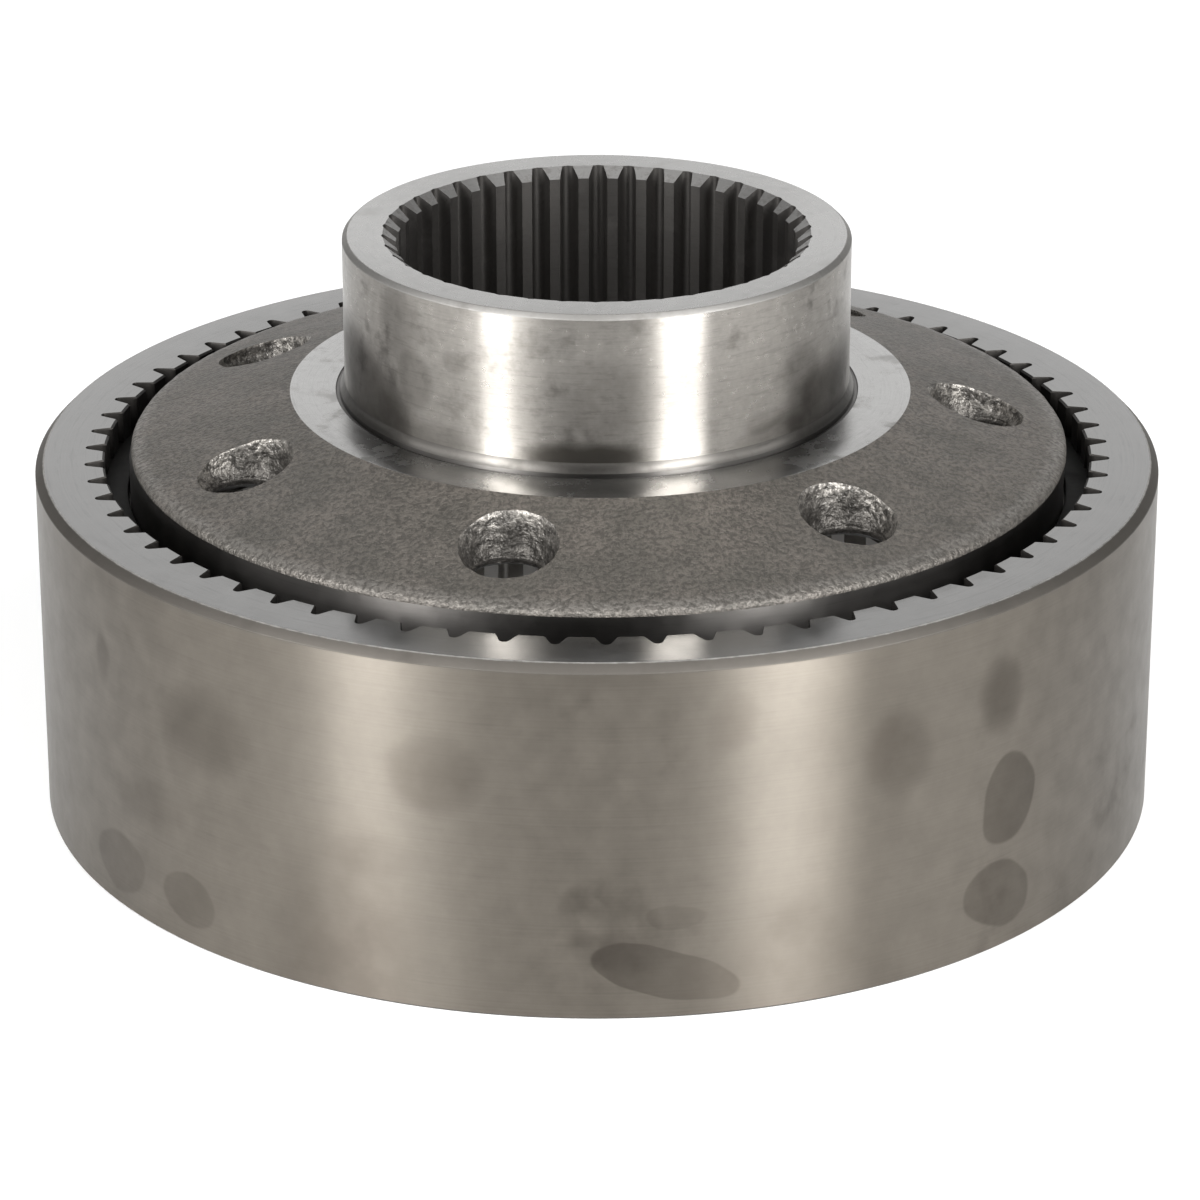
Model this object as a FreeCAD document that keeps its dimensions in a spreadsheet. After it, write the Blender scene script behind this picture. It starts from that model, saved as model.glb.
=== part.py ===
"""Internal ring gear with its toothed hub and retaining ring.

Millimetres, +Z up through the boss, origin on the axis at the ring gear's lower face.
The ring gear has straight internal teeth. Their tips are bored back from the top down to a
seat, where the hub's rim teeth stand in the tooth spaces. A retaining ring lies in a groove
just above them. The hub is one casting: rim, sloping web with seven cored holes, and a
splined boss.
"""
import FreeCAD, Part
import os

import Sketcher

SIZES = {
    # Ring gear
    "gear_teeth": 68,
    "gear_module": 3.75,
    "gear_pressure_angle": 20.0,
    "gear_space_width": 5.2,  # along the pitch circle
    "gear_addendum": 3.75,
    "gear_dedendum": 4.7,
    "gear_root_round": 1.0,
    "gear_turn": 1.0,  # degrees from +X to the middle of a tooth space
    "ring_wall": 12.8,  # from the tooth roots to the outside
    "ring_height": 92.5,
    "ring_top_chamfer": 2.1,
    "ring_bottom_chamfer": 0.6,
    "tooth_end_chamfer": 1.5,
    "tip_cutback": 3.45,  # how far the tips are bored back above the seat
    "tip_edge_chamfer": 0.4,
    "seat_depth": 34.5,  # from the ring gear's upper face down to the hub's seat
    # Fit of the hub in the ring gear
    "hub_tooth_width": 22.0,
    "tip_play": 0.9,
    "side_play": 0.15,
    "bore_play": 0.6,
    "hub_root_round": 0.5,
    # Retaining ring
    "clip_thickness": 4.0,
    "clip_depth": 8.7,
    "clip_gap": 14.0,
    "clip_turn": 90.0,  # degrees from +X to the gap
    "clip_neck_play": 0.5,
    "groove_side_play": 0.15,
    "groove_floor_play": 0.3,
    # Hub rim
    "neck_step": 5.8,  # from the rim tooth roots in to the plain neck
    "rim_thickness": 13.0,
    "rim_rise": 3.65,  # of the rim's upper edge over the ring gear's upper face
    "edge_break": 0.5,
    # Hub web
    "web_rise": 12.95,
    "web_thickness": 12.5,
    "cast_fillet": 4.0,
    "hole_count": 7,
    "hole_turn": 0.3,
    "hole_offset": 2.3,  # inwards from the middle of the web
    "hole_mouth_radius": 12.4,
    "hole_throat_radius": 9.1,
    "hole_throat_depth": 13.6,  # below the shoulder face
    "hole_ledge_rise": 1.2,  # of the ledge round the throat, up to the hole's wall
    "hole_draft": 0.6,
    "hole_lip_round": 1.4,
    "cut_overrun": 0.5,  # of a cut past the metal that it leaves
    # Boss
    "spline_teeth": 42,
    "spline_module": 2.5,
    "spline_pressure_angle": 20.0,
    "spline_space_width": 4.25,
    "spline_addendum": 1.25,
    "spline_dedendum": 2.5,
    "spline_root_round": 0.8,
    "spline_turn": 3.95,
    "lead_in_depth": 2.5,
    "lead_in_margin": 0.4,  # the lead-in cone stops this short of the tooth roots
    "boss_wall": 10.0,
    "boss_height": 41.6,
    "boss_chamfer": 1.1,
    "boss_fillet": 3.2,
    "shoulder_width": 14.8,
    "skirt_depth": 19.1,  # from the shoulder face down to the hub's lower boss face
    "skirt_wall": 15.5,
}

FIT_TOLERANCE = 0.001  # for finding an edge by its place

# Radii, as expressions over the sheet
gear_pitch = "(sizes.gear_teeth * sizes.gear_module / 2)"
gear_tip = f"({gear_pitch} - sizes.gear_addendum)"
gear_root = f"({gear_pitch} + sizes.gear_dedendum)"
ring_radius = f"({gear_root} + sizes.ring_wall)"
bored_tip = f"({gear_tip} + sizes.tip_cutback)"
hub_tooth_tip = f"({gear_root} - sizes.tip_play)"
hub_tooth_root = f"({bored_tip} - sizes.bore_play)"
neck_radius = f"({hub_tooth_root} - sizes.neck_step)"
clip_inner = f"({neck_radius} + sizes.clip_neck_play)"
clip_outer = f"({clip_inner} + sizes.clip_depth)"
groove_radius = f"({clip_outer} + sizes.groove_floor_play)"
rim_inner = f"({hub_tooth_root} - sizes.rim_thickness)"
spline_pitch = "(sizes.spline_teeth * sizes.spline_module / 2)"
spline_tip = f"({spline_pitch} - sizes.spline_addendum)"
spline_root = f"({spline_pitch} + sizes.spline_dedendum)"
lead_in_radius = f"({spline_root} - sizes.lead_in_margin)"
boss_radius = f"({spline_root} + sizes.boss_wall)"
shoulder_radius = f"({boss_radius} + sizes.shoulder_width)"
skirt_radius = f"({spline_root} + sizes.skirt_wall)"
hole_circle = f"(({shoulder_radius} + {neck_radius}) / 2 - sizes.hole_offset)"

# Heights above the ring gear's lower face
seat_level = "(sizes.ring_height - sizes.seat_depth)"
clip_level = f"({seat_level} + sizes.hub_tooth_width)"
groove_floor_level = f"({clip_level} - sizes.groove_side_play)"
groove_roof_level = f"({clip_level} + sizes.clip_thickness + sizes.groove_side_play)"
rim_edge_level = "(sizes.ring_height + sizes.rim_rise)"
shoulder_level = f"({rim_edge_level} + sizes.web_rise)"
boss_top = f"({shoulder_level} + sizes.boss_height)"
boss_bottom = f"({shoulder_level} - sizes.skirt_depth)"
throat_level = f"({shoulder_level} - sizes.hole_throat_depth)"


def web_top(radius):
    """Height of the web's top, which slopes from the shoulder down to the rim's upper edge."""
    slope = f"sizes.web_rise / ({neck_radius} - {shoulder_radius})"
    return f"({shoulder_level} - ({radius} - {shoulder_radius}) * {slope})"


def web_underside(radius):
    """Height of the web's underside, parallel to its top."""
    return f"({web_top(radius)} - sizes.web_thickness)"


def fill_sheet(doc):
    """The driving dimensions: a name and a plain number in each row."""
    sheet = doc.addObject("Spreadsheet::Sheet", "sizes")
    for row, (alias, size) in enumerate(SIZES.items(), start=1):
        sheet.set(f"A{row}", alias)
        sheet.set(f"B{row}", str(size))
        sheet.setAlias(f"B{row}", alias)
    doc.recompute()
    return sheet


def origin_feature(body, role):
    return next(part for part in body.Origin.OriginFeatures if part.Role == role)


def new_sketch(body, name, plane, turn=None):
    """A sketch on one of the body's own planes, turned about the Z axis if asked."""
    sketch = body.newObject("Sketcher::SketchObject", name)
    sketch.AttachmentSupport = (origin_feature(body, plane), [""])
    sketch.MapMode = "FlatFace"
    if turn:
        upright = FreeCAD.Vector(0, 1, 0) if plane == "XZ_Plane" else FreeCAD.Vector(0, 0, 1)
        sketch.AttachmentOffset = FreeCAD.Placement(FreeCAD.Vector(), FreeCAD.Rotation(upright, 1.0))
        sketch.setExpression("AttachmentOffset.Rotation.Angle", turn)
    return sketch


def place_point(sketch, edge, end, x, y):
    """Hold one end of an edge at two distances from the sketch's origin."""
    for kind, axis, distance in (("DistanceX", -2, x), ("DistanceY", -1, y)):
        if distance == "0":
            sketch.addConstraint(Sketcher.Constraint("PointOnObject", edge, end, axis))
            continue
        value = float(sketch.evalExpression(distance))
        number = sketch.addConstraint(Sketcher.Constraint(kind, -1, 1, edge, end, value))
        sketch.setExpression(f"Constraints[{number}]", distance)


def draw_outline(sketch, corners):
    """A closed outline through corners (x, y).

    A corner (x, y, mid_x, mid_y) starts an arc that passes through the middle point.
    """
    spots = [
        FreeCAD.Vector(*(float(sketch.evalExpression(value)) for value in corner[:2]), 0)
        for corner in corners
    ]
    ends = []
    for index, corner in enumerate(corners):
        here = spots[index]
        there = spots[(index + 1) % len(corners)]
        if len(corner) == 2:
            edge = sketch.addGeometry(Part.LineSegment(here, there), False)
            ends.append((edge, 1, 2))
            continue
        middle = FreeCAD.Vector(*(float(sketch.evalExpression(value)) for value in corner[2:]), 0)
        forwards = (middle - here).cross(there - middle).z > 0
        first, last = (here, there) if forwards else (there, here)
        edge = sketch.addGeometry(Part.Arc(first, middle, last), False)
        ends.append((edge, 1, 2) if forwards else (edge, 2, 1))
        mark = sketch.addGeometry(Part.Point(middle), True)
        place_point(sketch, mark, 1, corner[2], corner[3])
        sketch.addConstraint(Sketcher.Constraint("PointOnObject", mark, 1, edge))
    for index, corner in enumerate(corners):
        edge, start, _ = ends[index]
        before, _, finish = ends[index - 1]
        sketch.addConstraint(Sketcher.Constraint("Coincident", before, finish, edge, start))
        place_point(sketch, edge, start, corner[0], corner[1])


def revolve_outline(body, name, corners, turn=None):
    """A full turn of the outline; the turn says where its seam lies."""
    sketch = new_sketch(body, f"{name}_section", "XZ_Plane", turn)
    draw_outline(sketch, corners)
    revolution = body.newObject("PartDesign::Revolution", name)
    revolution.Profile = sketch
    revolution.ReferenceAxis = (sketch, ["V_Axis"])
    revolution.Angle = 360
    sketch.Visibility = False
    body.Tip = revolution
    return revolution


def repeat_round(body, feature, name, count):
    """Copies of a cut all round the body's Z axis."""
    pattern = body.newObject("PartDesign::PolarPattern", name)
    pattern.Originals = [feature]
    pattern.Axis = (origin_feature(body, "Z_Axis"), [""])
    pattern.Angle = 360
    pattern.setExpression("Occurrences", count)
    body.Tip = pattern
    return pattern


def involute_half_angle(radius, pitch, width, pressure_angle):
    """Half the angle that an involute tooth form of this width at the pitch circle spans at a radius."""
    def involute(angle):
        return f"(tan({angle}) * 1 rad - {angle})"

    at_pitch = f"({pressure_angle} * 1 deg)"
    at_radius = f"acos({pitch} * cos({at_pitch}) / {radius})"
    return f"({width} / (2 * {pitch}) * 1 rad + {involute(at_pitch)} - {involute(at_radius)})"


def cut_tooth_spaces(body, name, turn, count, half_angle, mouth, flank_end, floor):
    """Cut one tooth space through the body, then all of them.

    The space lies along the sketch's X axis. half_angle gives half of its angle at a radius.
    Its flanks run from the open mouth to flank_end, and a round end reaches the floor radius.
    """
    sketch = new_sketch(body, f"{name}_outline", "XY_Plane", turn)
    middle = f"(({mouth} + {flank_end}) / 2)"

    def flank_point(radius, side):
        angle = half_angle(radius)
        return f"{radius} * cos({angle})", f"{side} * {radius} * sin({angle})"

    draw_outline(sketch, [
        flank_point(mouth, "-1") + flank_point(middle, "-1"),
        flank_point(flank_end, "-1") + (floor, "0"),
        flank_point(flank_end, "1") + flank_point(middle, "1"),
        flank_point(mouth, "1"),
    ])
    pocket = body.newObject("PartDesign::Pocket", name)
    pocket.Profile = sketch
    pocket.Type = "ThroughAll"
    pocket.Reversed = True
    sketch.Visibility = False
    return repeat_round(body, pocket, f"{name}_all_round", count)


def round_edges(body, name, radius, is_wanted):
    """Fillet those edges of the body so far that the test picks."""
    base = body.Tip
    base.Document.recompute()
    numbered = enumerate(base.Shape.Edges, start=1)
    fillet = body.newObject("PartDesign::Fillet", name)
    fillet.Base = (base, [f"Edge{number}" for number, edge in numbered if is_wanted(edge)])
    fillet.setExpression("Radius", radius)
    body.Tip = fillet
    return fillet


def runs_round_axis(body, spots):
    """A test for edges that run round the Z axis through one of the spots (radius, height)."""
    sizes = [tuple(float(body.evalExpression(value)) for value in spot) for spot in spots]

    def is_wanted(edge):
        if not isinstance(edge.Curve, Part.Circle):
            return False
        centre = edge.Curve.Center
        return any(
            abs(centre.x) + abs(centre.y) + abs(centre.z - height) < FIT_TOLERANCE
            and abs(edge.Curve.Radius - radius) < FIT_TOLERANCE
            for radius, height in sizes
        )

    return is_wanted


def lies_on_web(body):
    """A test for curved edges on the web's top that don't run round the Z axis: hole mouths."""
    foot, top = (
        FreeCAD.Vector(*(float(body.evalExpression(value)) for value in (radius, web_top(radius))), 0)
        for radius in (neck_radius, shoulder_radius)
    )

    def is_wanted(edge):
        if isinstance(edge.Curve, (Part.Circle, Part.Line)):
            return False
        spots = [edge.valueAt(edge.FirstParameter), edge.valueAt(edge.LastParameter)]
        spots.append(edge.valueAt((edge.FirstParameter + edge.LastParameter) / 2))
        section = [FreeCAD.Vector((spot.x ** 2 + spot.y ** 2) ** 0.5, spot.z, 0) for spot in spots]
        return all(spot.distanceToLine(foot, top - foot) < FIT_TOLERANCE for spot in section)

    return is_wanted


def new_body(doc, name):
    body = doc.addObject("PartDesign::Body", name)
    body.Label = name
    body.Placement = FreeCAD.Placement()
    return body


def gear_space_half_angle(radius):
    return involute_half_angle(
        radius, gear_pitch, "sizes.gear_space_width", "sizes.gear_pressure_angle"
    )


def hub_space_half_angle(radius):
    """What is left between two rim teeth that fill the gear's spaces with some side play."""
    tooth = f"{gear_space_half_angle(radius)} - sizes.side_play / {radius} * 1 rad"
    return f"(180 deg / sizes.gear_teeth - ({tooth}))"


def spline_space_half_angle(radius):
    return involute_half_angle(
        radius, spline_pitch, "sizes.spline_space_width", "sizes.spline_pressure_angle"
    )


def make_ring_gear(doc):
    """The toothed ring, bored back over the hub's seat and grooved for the retaining ring."""
    body = new_body(doc, "ring_gear")
    revolve_outline(body, "ring", [
        (f"{gear_tip} + sizes.tooth_end_chamfer", "0"),
        (f"{ring_radius} - sizes.ring_bottom_chamfer", "0"),
        (ring_radius, "sizes.ring_bottom_chamfer"),
        (ring_radius, "sizes.ring_height - sizes.ring_top_chamfer"),
        (f"{ring_radius} - sizes.ring_top_chamfer", "sizes.ring_height"),
        (f"{bored_tip} + sizes.tip_edge_chamfer", "sizes.ring_height"),
        (bored_tip, "sizes.ring_height - sizes.tip_edge_chamfer"),
        (bored_tip, groove_roof_level),
        (groove_radius, groove_roof_level),
        (groove_radius, groove_floor_level),
        (bored_tip, groove_floor_level),
        (bored_tip, seat_level),
        (gear_tip, seat_level),
        (gear_tip, "sizes.tooth_end_chamfer"),
    ])
    cut_tooth_spaces(
        body, "tooth_space", "sizes.gear_turn", "sizes.gear_teeth", gear_space_half_angle,
        mouth=f"({gear_tip} - sizes.cut_overrun)",
        flank_end=f"({gear_root} - sizes.gear_root_round)",
        floor=gear_root,
    )
    return body


def make_hub(doc):
    """The hub casting: toothed rim, plain neck, sloping web, shoulder and boss."""
    body = new_body(doc, "hub")
    fillet_bow = "sizes.boss_fillet * (1 - sqrt(0.5))"
    revolve_outline(body, "casting", [
        (lead_in_radius, boss_bottom),
        (skirt_radius, boss_bottom),
        (skirt_radius, web_underside(skirt_radius)),
        (rim_inner, web_underside(rim_inner)),
        (rim_inner, seat_level),
        (f"{hub_tooth_tip} - sizes.edge_break", seat_level),
        (hub_tooth_tip, f"{seat_level} + sizes.edge_break"),
        (hub_tooth_tip, clip_level),
        (neck_radius, clip_level),
        (neck_radius, f"{rim_edge_level} - sizes.edge_break"),
        (f"{neck_radius} - sizes.edge_break", web_top(f"({neck_radius} - sizes.edge_break)")),
        (shoulder_radius, shoulder_level),
        (
            f"{boss_radius} + sizes.boss_fillet", shoulder_level,
            f"{boss_radius} + {fillet_bow}", f"{shoulder_level} + {fillet_bow}",
        ),
        (boss_radius, f"{shoulder_level} + sizes.boss_fillet"),
        (boss_radius, f"{boss_top} - sizes.boss_chamfer"),
        (f"{boss_radius} - sizes.boss_chamfer", boss_top),
        (lead_in_radius, boss_top),
        (spline_tip, f"{boss_top} - sizes.lead_in_depth"),
        (spline_tip, f"{boss_bottom} + sizes.lead_in_depth"),
    ], turn="sizes.hole_turn + 180 / sizes.hole_count")
    corners = [
        (skirt_radius, web_underside(skirt_radius)),
        (rim_inner, web_underside(rim_inner)),
    ]
    round_edges(body, "cast_corners", "sizes.cast_fillet", runs_round_axis(body, corners))
    cut_cored_holes(body)
    cut_tooth_spaces(
        body, "rim_space", "sizes.gear_turn + 180 / sizes.gear_teeth", "sizes.gear_teeth",
        hub_space_half_angle,
        mouth=f"({hub_tooth_tip} + sizes.cut_overrun)",
        flank_end=f"({hub_tooth_root} + sizes.hub_root_round)",
        floor=hub_tooth_root,
    )
    cut_tooth_spaces(
        body, "spline_space", "sizes.spline_turn", "sizes.spline_teeth", spline_space_half_angle,
        mouth=f"({spline_tip} - sizes.cut_overrun)",
        flank_end=f"({spline_root} - sizes.spline_root_round)",
        floor=spline_root,
    )
    return body


def cut_cored_holes(body):
    """The ring of cast holes: a wide mouth over a ledge that narrows it to a throat."""
    sketch = new_sketch(body, "hole_section", "XZ_Plane", "sizes.hole_turn")
    throat = f"{hole_circle} + sizes.hole_throat_radius"
    mouth = f"{hole_circle} + sizes.hole_mouth_radius"
    ledge_width = "(sizes.hole_mouth_radius - sizes.hole_throat_radius)"
    low = f"{web_underside(neck_radius)} - sizes.cut_overrun"
    high = f"{shoulder_level} + sizes.cut_overrun"
    draw_outline(sketch, [
        (hole_circle, low),
        (f"{throat} + sizes.hole_draft", low),
        (
            throat, throat_level,
            f"{throat} + {ledge_width} * sqrt(0.5)",
            f"{throat_level} + sizes.hole_ledge_rise * (1 - sqrt(0.5))",
        ),
        (mouth, f"{throat_level} + sizes.hole_ledge_rise"),
        (f"{mouth} + sizes.hole_draft", high),
        (hole_circle, high),
    ])
    start = FreeCAD.Vector(float(body.evalExpression(hole_circle)), 0, 0)
    axis = sketch.addGeometry(Part.LineSegment(start, start + FreeCAD.Vector(0, 10, 0)), True)
    sketch.addConstraint(Sketcher.Constraint("Vertical", axis))
    place_point(sketch, axis, 1, hole_circle, "0")
    groove = body.newObject("PartDesign::Groove", "hole")
    groove.Profile = sketch
    groove.ReferenceAxis = (sketch, ["Axis0"])
    groove.Angle = 360
    sketch.Visibility = False
    repeat_round(body, groove, "hole_all_round", "sizes.hole_count")
    round_edges(body, "hole_lips", "sizes.hole_lip_round", lies_on_web(body))


def make_retaining_ring(doc):
    """A flat ring, open at one place, that lies on the hub's rim teeth in the gear's groove."""
    body = new_body(doc, "retaining_ring")
    gap = f"(sizes.clip_gap / {clip_outer} * 1 rad)"
    sketch = new_sketch(body, "clip_section", "XZ_Plane", f"sizes.clip_turn * 1 deg + {gap} / 2")
    draw_outline(sketch, [
        (clip_inner, clip_level),
        (clip_outer, clip_level),
        (clip_outer, f"{clip_level} + sizes.clip_thickness"),
        (clip_inner, f"{clip_level} + sizes.clip_thickness"),
    ])
    revolution = body.newObject("PartDesign::Revolution", "clip")
    revolution.Profile = sketch
    revolution.ReferenceAxis = (sketch, ["V_Axis"])
    revolution.setExpression("Angle", f"360 deg - {gap}")
    sketch.Visibility = False
    return body


def check(doc, pieces):
    """Stop if anything in the document failed or a piece is no closed, valid solid."""
    failed = [item.Label for item in doc.Objects if {"Invalid", "Error"} & set(item.State)]
    if failed:
        raise RuntimeError(f"not built: {', '.join(failed)}")
    for piece in pieces:
        if piece.Shape.isNull() or not piece.Shape.isValid() or len(piece.Shape.Solids) != 1:
            raise RuntimeError(f"{piece.Label} is not one valid solid")


def main():
    doc = FreeCAD.newDocument("internal_ring_gear")
    fill_sheet(doc)
    pieces = [make_ring_gear(doc), make_hub(doc), make_retaining_ring(doc)]
    doc.recompute()
    check(doc, pieces)
    os.makedirs("parts", exist_ok=True)
    for piece in pieces:
        piece.Shape.exportStep(f"parts/{piece.Label}.step")
        box = piece.Shape.BoundBox
        print(
            f"{piece.Label}: {piece.Shape.Volume:.0f} mm3,"
            f" x {box.XMin:.2f} to {box.XMax:.2f}, z {box.ZMin:.2f} to {box.ZMax:.2f}"
        )


main()
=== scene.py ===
"""Looks of the internal ring gear: the toothed ring, the cast hub in it and its retaining ring.

Sizes of the metal are in millimetres, and become metres where a mesh is made. Everything turns
about the Z axis, and a section is drawn as radius and height. Angles are in degrees from +X.
"""
import itertools
import logging
import math
from dataclasses import dataclass, field
from enum import Enum

import bmesh
import bpy
import numpy as np
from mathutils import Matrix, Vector


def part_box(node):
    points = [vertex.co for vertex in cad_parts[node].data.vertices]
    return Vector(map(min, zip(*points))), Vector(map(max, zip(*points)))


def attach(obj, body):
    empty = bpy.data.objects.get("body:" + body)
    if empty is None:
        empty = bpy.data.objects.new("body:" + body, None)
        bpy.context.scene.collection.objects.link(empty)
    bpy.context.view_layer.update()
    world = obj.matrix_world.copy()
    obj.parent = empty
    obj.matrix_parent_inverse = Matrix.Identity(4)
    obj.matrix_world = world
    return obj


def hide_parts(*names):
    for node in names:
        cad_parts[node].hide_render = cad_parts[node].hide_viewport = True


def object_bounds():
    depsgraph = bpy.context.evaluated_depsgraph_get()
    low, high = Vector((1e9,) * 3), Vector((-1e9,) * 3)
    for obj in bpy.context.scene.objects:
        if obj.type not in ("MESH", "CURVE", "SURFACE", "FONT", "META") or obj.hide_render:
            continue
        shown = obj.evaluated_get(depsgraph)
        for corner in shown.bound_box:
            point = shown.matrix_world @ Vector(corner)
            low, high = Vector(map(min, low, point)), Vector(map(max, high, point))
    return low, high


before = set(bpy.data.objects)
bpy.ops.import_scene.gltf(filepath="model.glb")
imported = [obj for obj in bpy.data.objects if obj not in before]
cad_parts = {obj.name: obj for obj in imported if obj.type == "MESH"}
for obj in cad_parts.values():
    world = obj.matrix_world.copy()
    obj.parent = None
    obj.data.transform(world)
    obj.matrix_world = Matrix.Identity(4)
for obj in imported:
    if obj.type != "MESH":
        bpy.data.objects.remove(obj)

cad_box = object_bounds()

LOG = logging.getLogger("ring_gear")
MM = 0.001
WELD = 1e-6  # metres, under which two points of a mesh are one
SHARP_ANGLE = 30.0  # degrees between faces, over which an edge stays sharp
HASH_STRIDES = np.array([73856093, 19349663, 83492791])  # large primes, one for each axis
HASH_SEED, HASH_MIX, HASH_MASK = 7919, 1274126177, 0xFFFFFFFF
Socket = bpy.types.NodeSocket
Tree = bpy.types.NodeTree
Piece = bpy.types.Object
Faces = list[list[int]]
Colour = tuple[float, float, float]
Lumps = tuple[tuple[float, float, int], ...]  # height, size and seed of each size of lump
CAST_LUMPS: Lumps = ((0.16, 7.0, 3), (0.09, 2.6, 5))  # of the hub's cast skin
CORE_LUMPS: Lumps = ((0.26, 3.6, 0), (0.2, 1.3, 1))  # of the walls of its cored holes


# Surfaces as numbers


def lattice_noise(points: np.ndarray, cell: float, seed: int) -> np.ndarray:
    """Smooth noise: a random value at each corner of a cubic lattice, blended with s = 3t^2 - 2t^3.

    Args:
        points: Places, one row each, in the same unit as the cell.
        cell: Width of a lattice cell.
        seed: Chooses one pattern.

    Returns:
        One value from -1 to 1 for each place.
    """
    scaled = points / cell
    corner = np.floor(scaled).astype(np.int64)
    share = scaled - corner
    share = share * share * (3.0 - 2.0 * share)
    total = np.zeros(len(points))
    for step in itertools.product((0, 1), repeat=3):
        place = corner + np.array(step)
        mixed = (place @ HASH_STRIDES + seed * HASH_SEED) & HASH_MASK
        mixed = ((mixed ^ (mixed >> 13)) * HASH_MIX) & HASH_MASK
        value = (mixed ^ (mixed >> 16)) / 2.0 ** 31 - 1.0
        weight = np.where(np.array(step) == 1, share, 1.0 - share).prod(axis=1)
        total += weight * value
    return total


def lumpy(points: np.ndarray, lumps: Lumps, seed: int = 0) -> np.ndarray:
    """Unevenness of several sizes: the sum of each size's height times its noise."""
    return sum(height * lattice_noise(points, cell, seed + own) for height, cell, own in lumps)


def wrapped_faces(rows: int, columns: int) -> np.ndarray:
    """Quads of a grid that closes on itself both ways, as on a torus.

    Args:
        rows: Points along the section.
        columns: Points round the axis.

    Returns:
        An array of quads, row by row.
    """
    row, column = np.meshgrid(np.arange(rows), np.arange(columns), indexing="ij")
    below = (row + 1) % rows * columns
    beside = (column + 1) % columns
    here = row * columns
    return np.stack(
        [here + column, below + column, below + beside, here + beside], axis=-1
    ).reshape(-1, 4)


def capped_faces(rows: int, columns: int) -> Faces:
    """Quads of a grid closed round its columns, with one polygon over each open end.

    Args:
        rows: Points along the length.
        columns: Points round the section.

    Returns:
        A list of faces, with the two caps last.
    """
    sides = wrapped_faces(rows, columns)[: (rows - 1) * columns]
    first = np.arange(columns)
    last = (rows - 1) * columns + first
    return sides.tolist() + [first.tolist(), last[::-1].tolist()]


def split_cone_band(
    band: np.ndarray, base: np.ndarray, tips: tuple[float, float]
) -> tuple[np.ndarray, np.ndarray]:
    """Cut each quad of a cone's band in two, along the line where the cone meets the tooth flank.

    A point lies on the cone where the tooth outline's radius is no more than the cone's own. The
    cut joins the two points of a quad at which both radii are the same.

    Args:
        band: The quads between two rings of points.
        base: Radius of the tooth outline at each column.
        tips: The cone's radius at the first ring and at the second.

    Returns:
        The triangles, and for each whether it belongs to the cone.
    """
    on_first, on_second = (base <= tip + WELD for tip in tips)
    on_cone = np.stack([on_first, on_second, np.roll(on_second, -1), np.roll(on_first, -1)], axis=1)
    forwards = ((np.roll(base, -1) - base) * (tips[1] - tips[0]) > 0.0)[:, None]
    halves = [
        np.where(forwards, values[:, one], values[:, other])
        for one, other in (([0, 1, 2], [0, 1, 3]), ([0, 2, 3], [1, 2, 3]))
        for values in (band, on_cone)
    ]
    return np.concatenate(halves[::2]), np.concatenate(halves[1::2]).astype(bool).all(axis=1)


def mesh_volume(points: np.ndarray, faces: Faces) -> float:
    """Volume inside a closed mesh: the sum over its faces of one sixth of a . (b x c).

    Args:
        points: One row of x, y, z for each point.
        faces: Point numbers of each face.

    Returns:
        The volume, below nothing where the faces look inwards.
    """
    total = 0.0
    for size in {len(face) for face in faces}:
        corners = points[np.array([face for face in faces if len(face) == size])]
        for step in range(1, size - 1):
            cross = np.cross(corners[:, step], corners[:, step + 1])
            total += (corners[:, 0] * cross).sum() / 6.0
    return total


def link_object(name: str, data: bpy.types.ID) -> Piece:
    """Make an object of a mesh, a lamp or a lens, and link it to the scene.

    Args:
        name: The object's name.
        data: Its mesh, lamp or lens.

    Returns:
        The object.
    """
    made = bpy.data.objects.new(name, data)
    bpy.context.scene.collection.objects.link(made)
    return made


def make_object(name: str, points: np.ndarray, faces: Faces, zones: np.ndarray | None = None) -> Piece:
    """Make a mesh object in metres from points in millimetres, with its faces outwards.

    Args:
        name: The object's name.
        points: One row of x, y, z for each point.
        faces: Point numbers of each face, all turned the same way.
        zones: The material number of each face, if it has several.

    Returns:
        The object, linked to the scene, at the origin.
    """
    if mesh_volume(points, faces) < 0.0:
        faces = [face[::-1] for face in faces]
    mesh = bpy.data.meshes.new(name)
    mesh.from_pydata(points * MM, [], faces)
    if zones is not None:
        mesh.polygons.foreach_set("material_index", zones.astype(np.int32))
    shell = bmesh.new()
    shell.from_mesh(mesh)
    bmesh.ops.remove_doubles(shell, verts=shell.verts, dist=WELD)
    shell.to_mesh(mesh)
    shell.free()
    return link_object(name, mesh)


def cut_away(body: Piece, cutter: Piece) -> None:
    """Take the cutter's volume out of the body for good, and delete the cutter.

    Args:
        body: The object that is cut.
        cutter: The closed object to take out.
    """
    cut = body.modifiers.new("cut", "BOOLEAN")
    cut.operation = "DIFFERENCE"
    cut.solver = "MANIFOLD"
    cut.object = cutter
    graph = bpy.context.evaluated_depsgraph_get()
    result = bpy.data.meshes.new_from_object(body.evaluated_get(graph))
    body.modifiers.clear()
    body.data = result
    bpy.data.objects.remove(cutter)


def make_sheet(name: str, points: np.ndarray, faces: Faces) -> Piece:
    """Make an open sheet of the studio, from points in metres.

    Args:
        name: The object's name.
        points: One row of x, y, z for each point.
        faces: Point numbers of each face.

    Returns:
        The object, linked to the scene.
    """
    mesh = bpy.data.meshes.new(name)
    mesh.from_pydata(points, [], faces)
    return link_object(name, mesh)


def shade(piece: Piece) -> None:
    """Shade the piece smooth, with its sharp edges kept sharp.

    Args:
        piece: The mesh object.
    """
    mesh = piece.data
    mesh.polygons.foreach_set("use_smooth", np.ones(len(mesh.polygons), dtype=bool))
    mesh.set_sharp_from_angle(angle=math.radians(SHARP_ANGLE))
    mesh.update()


# Toothed outlines and sections


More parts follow.
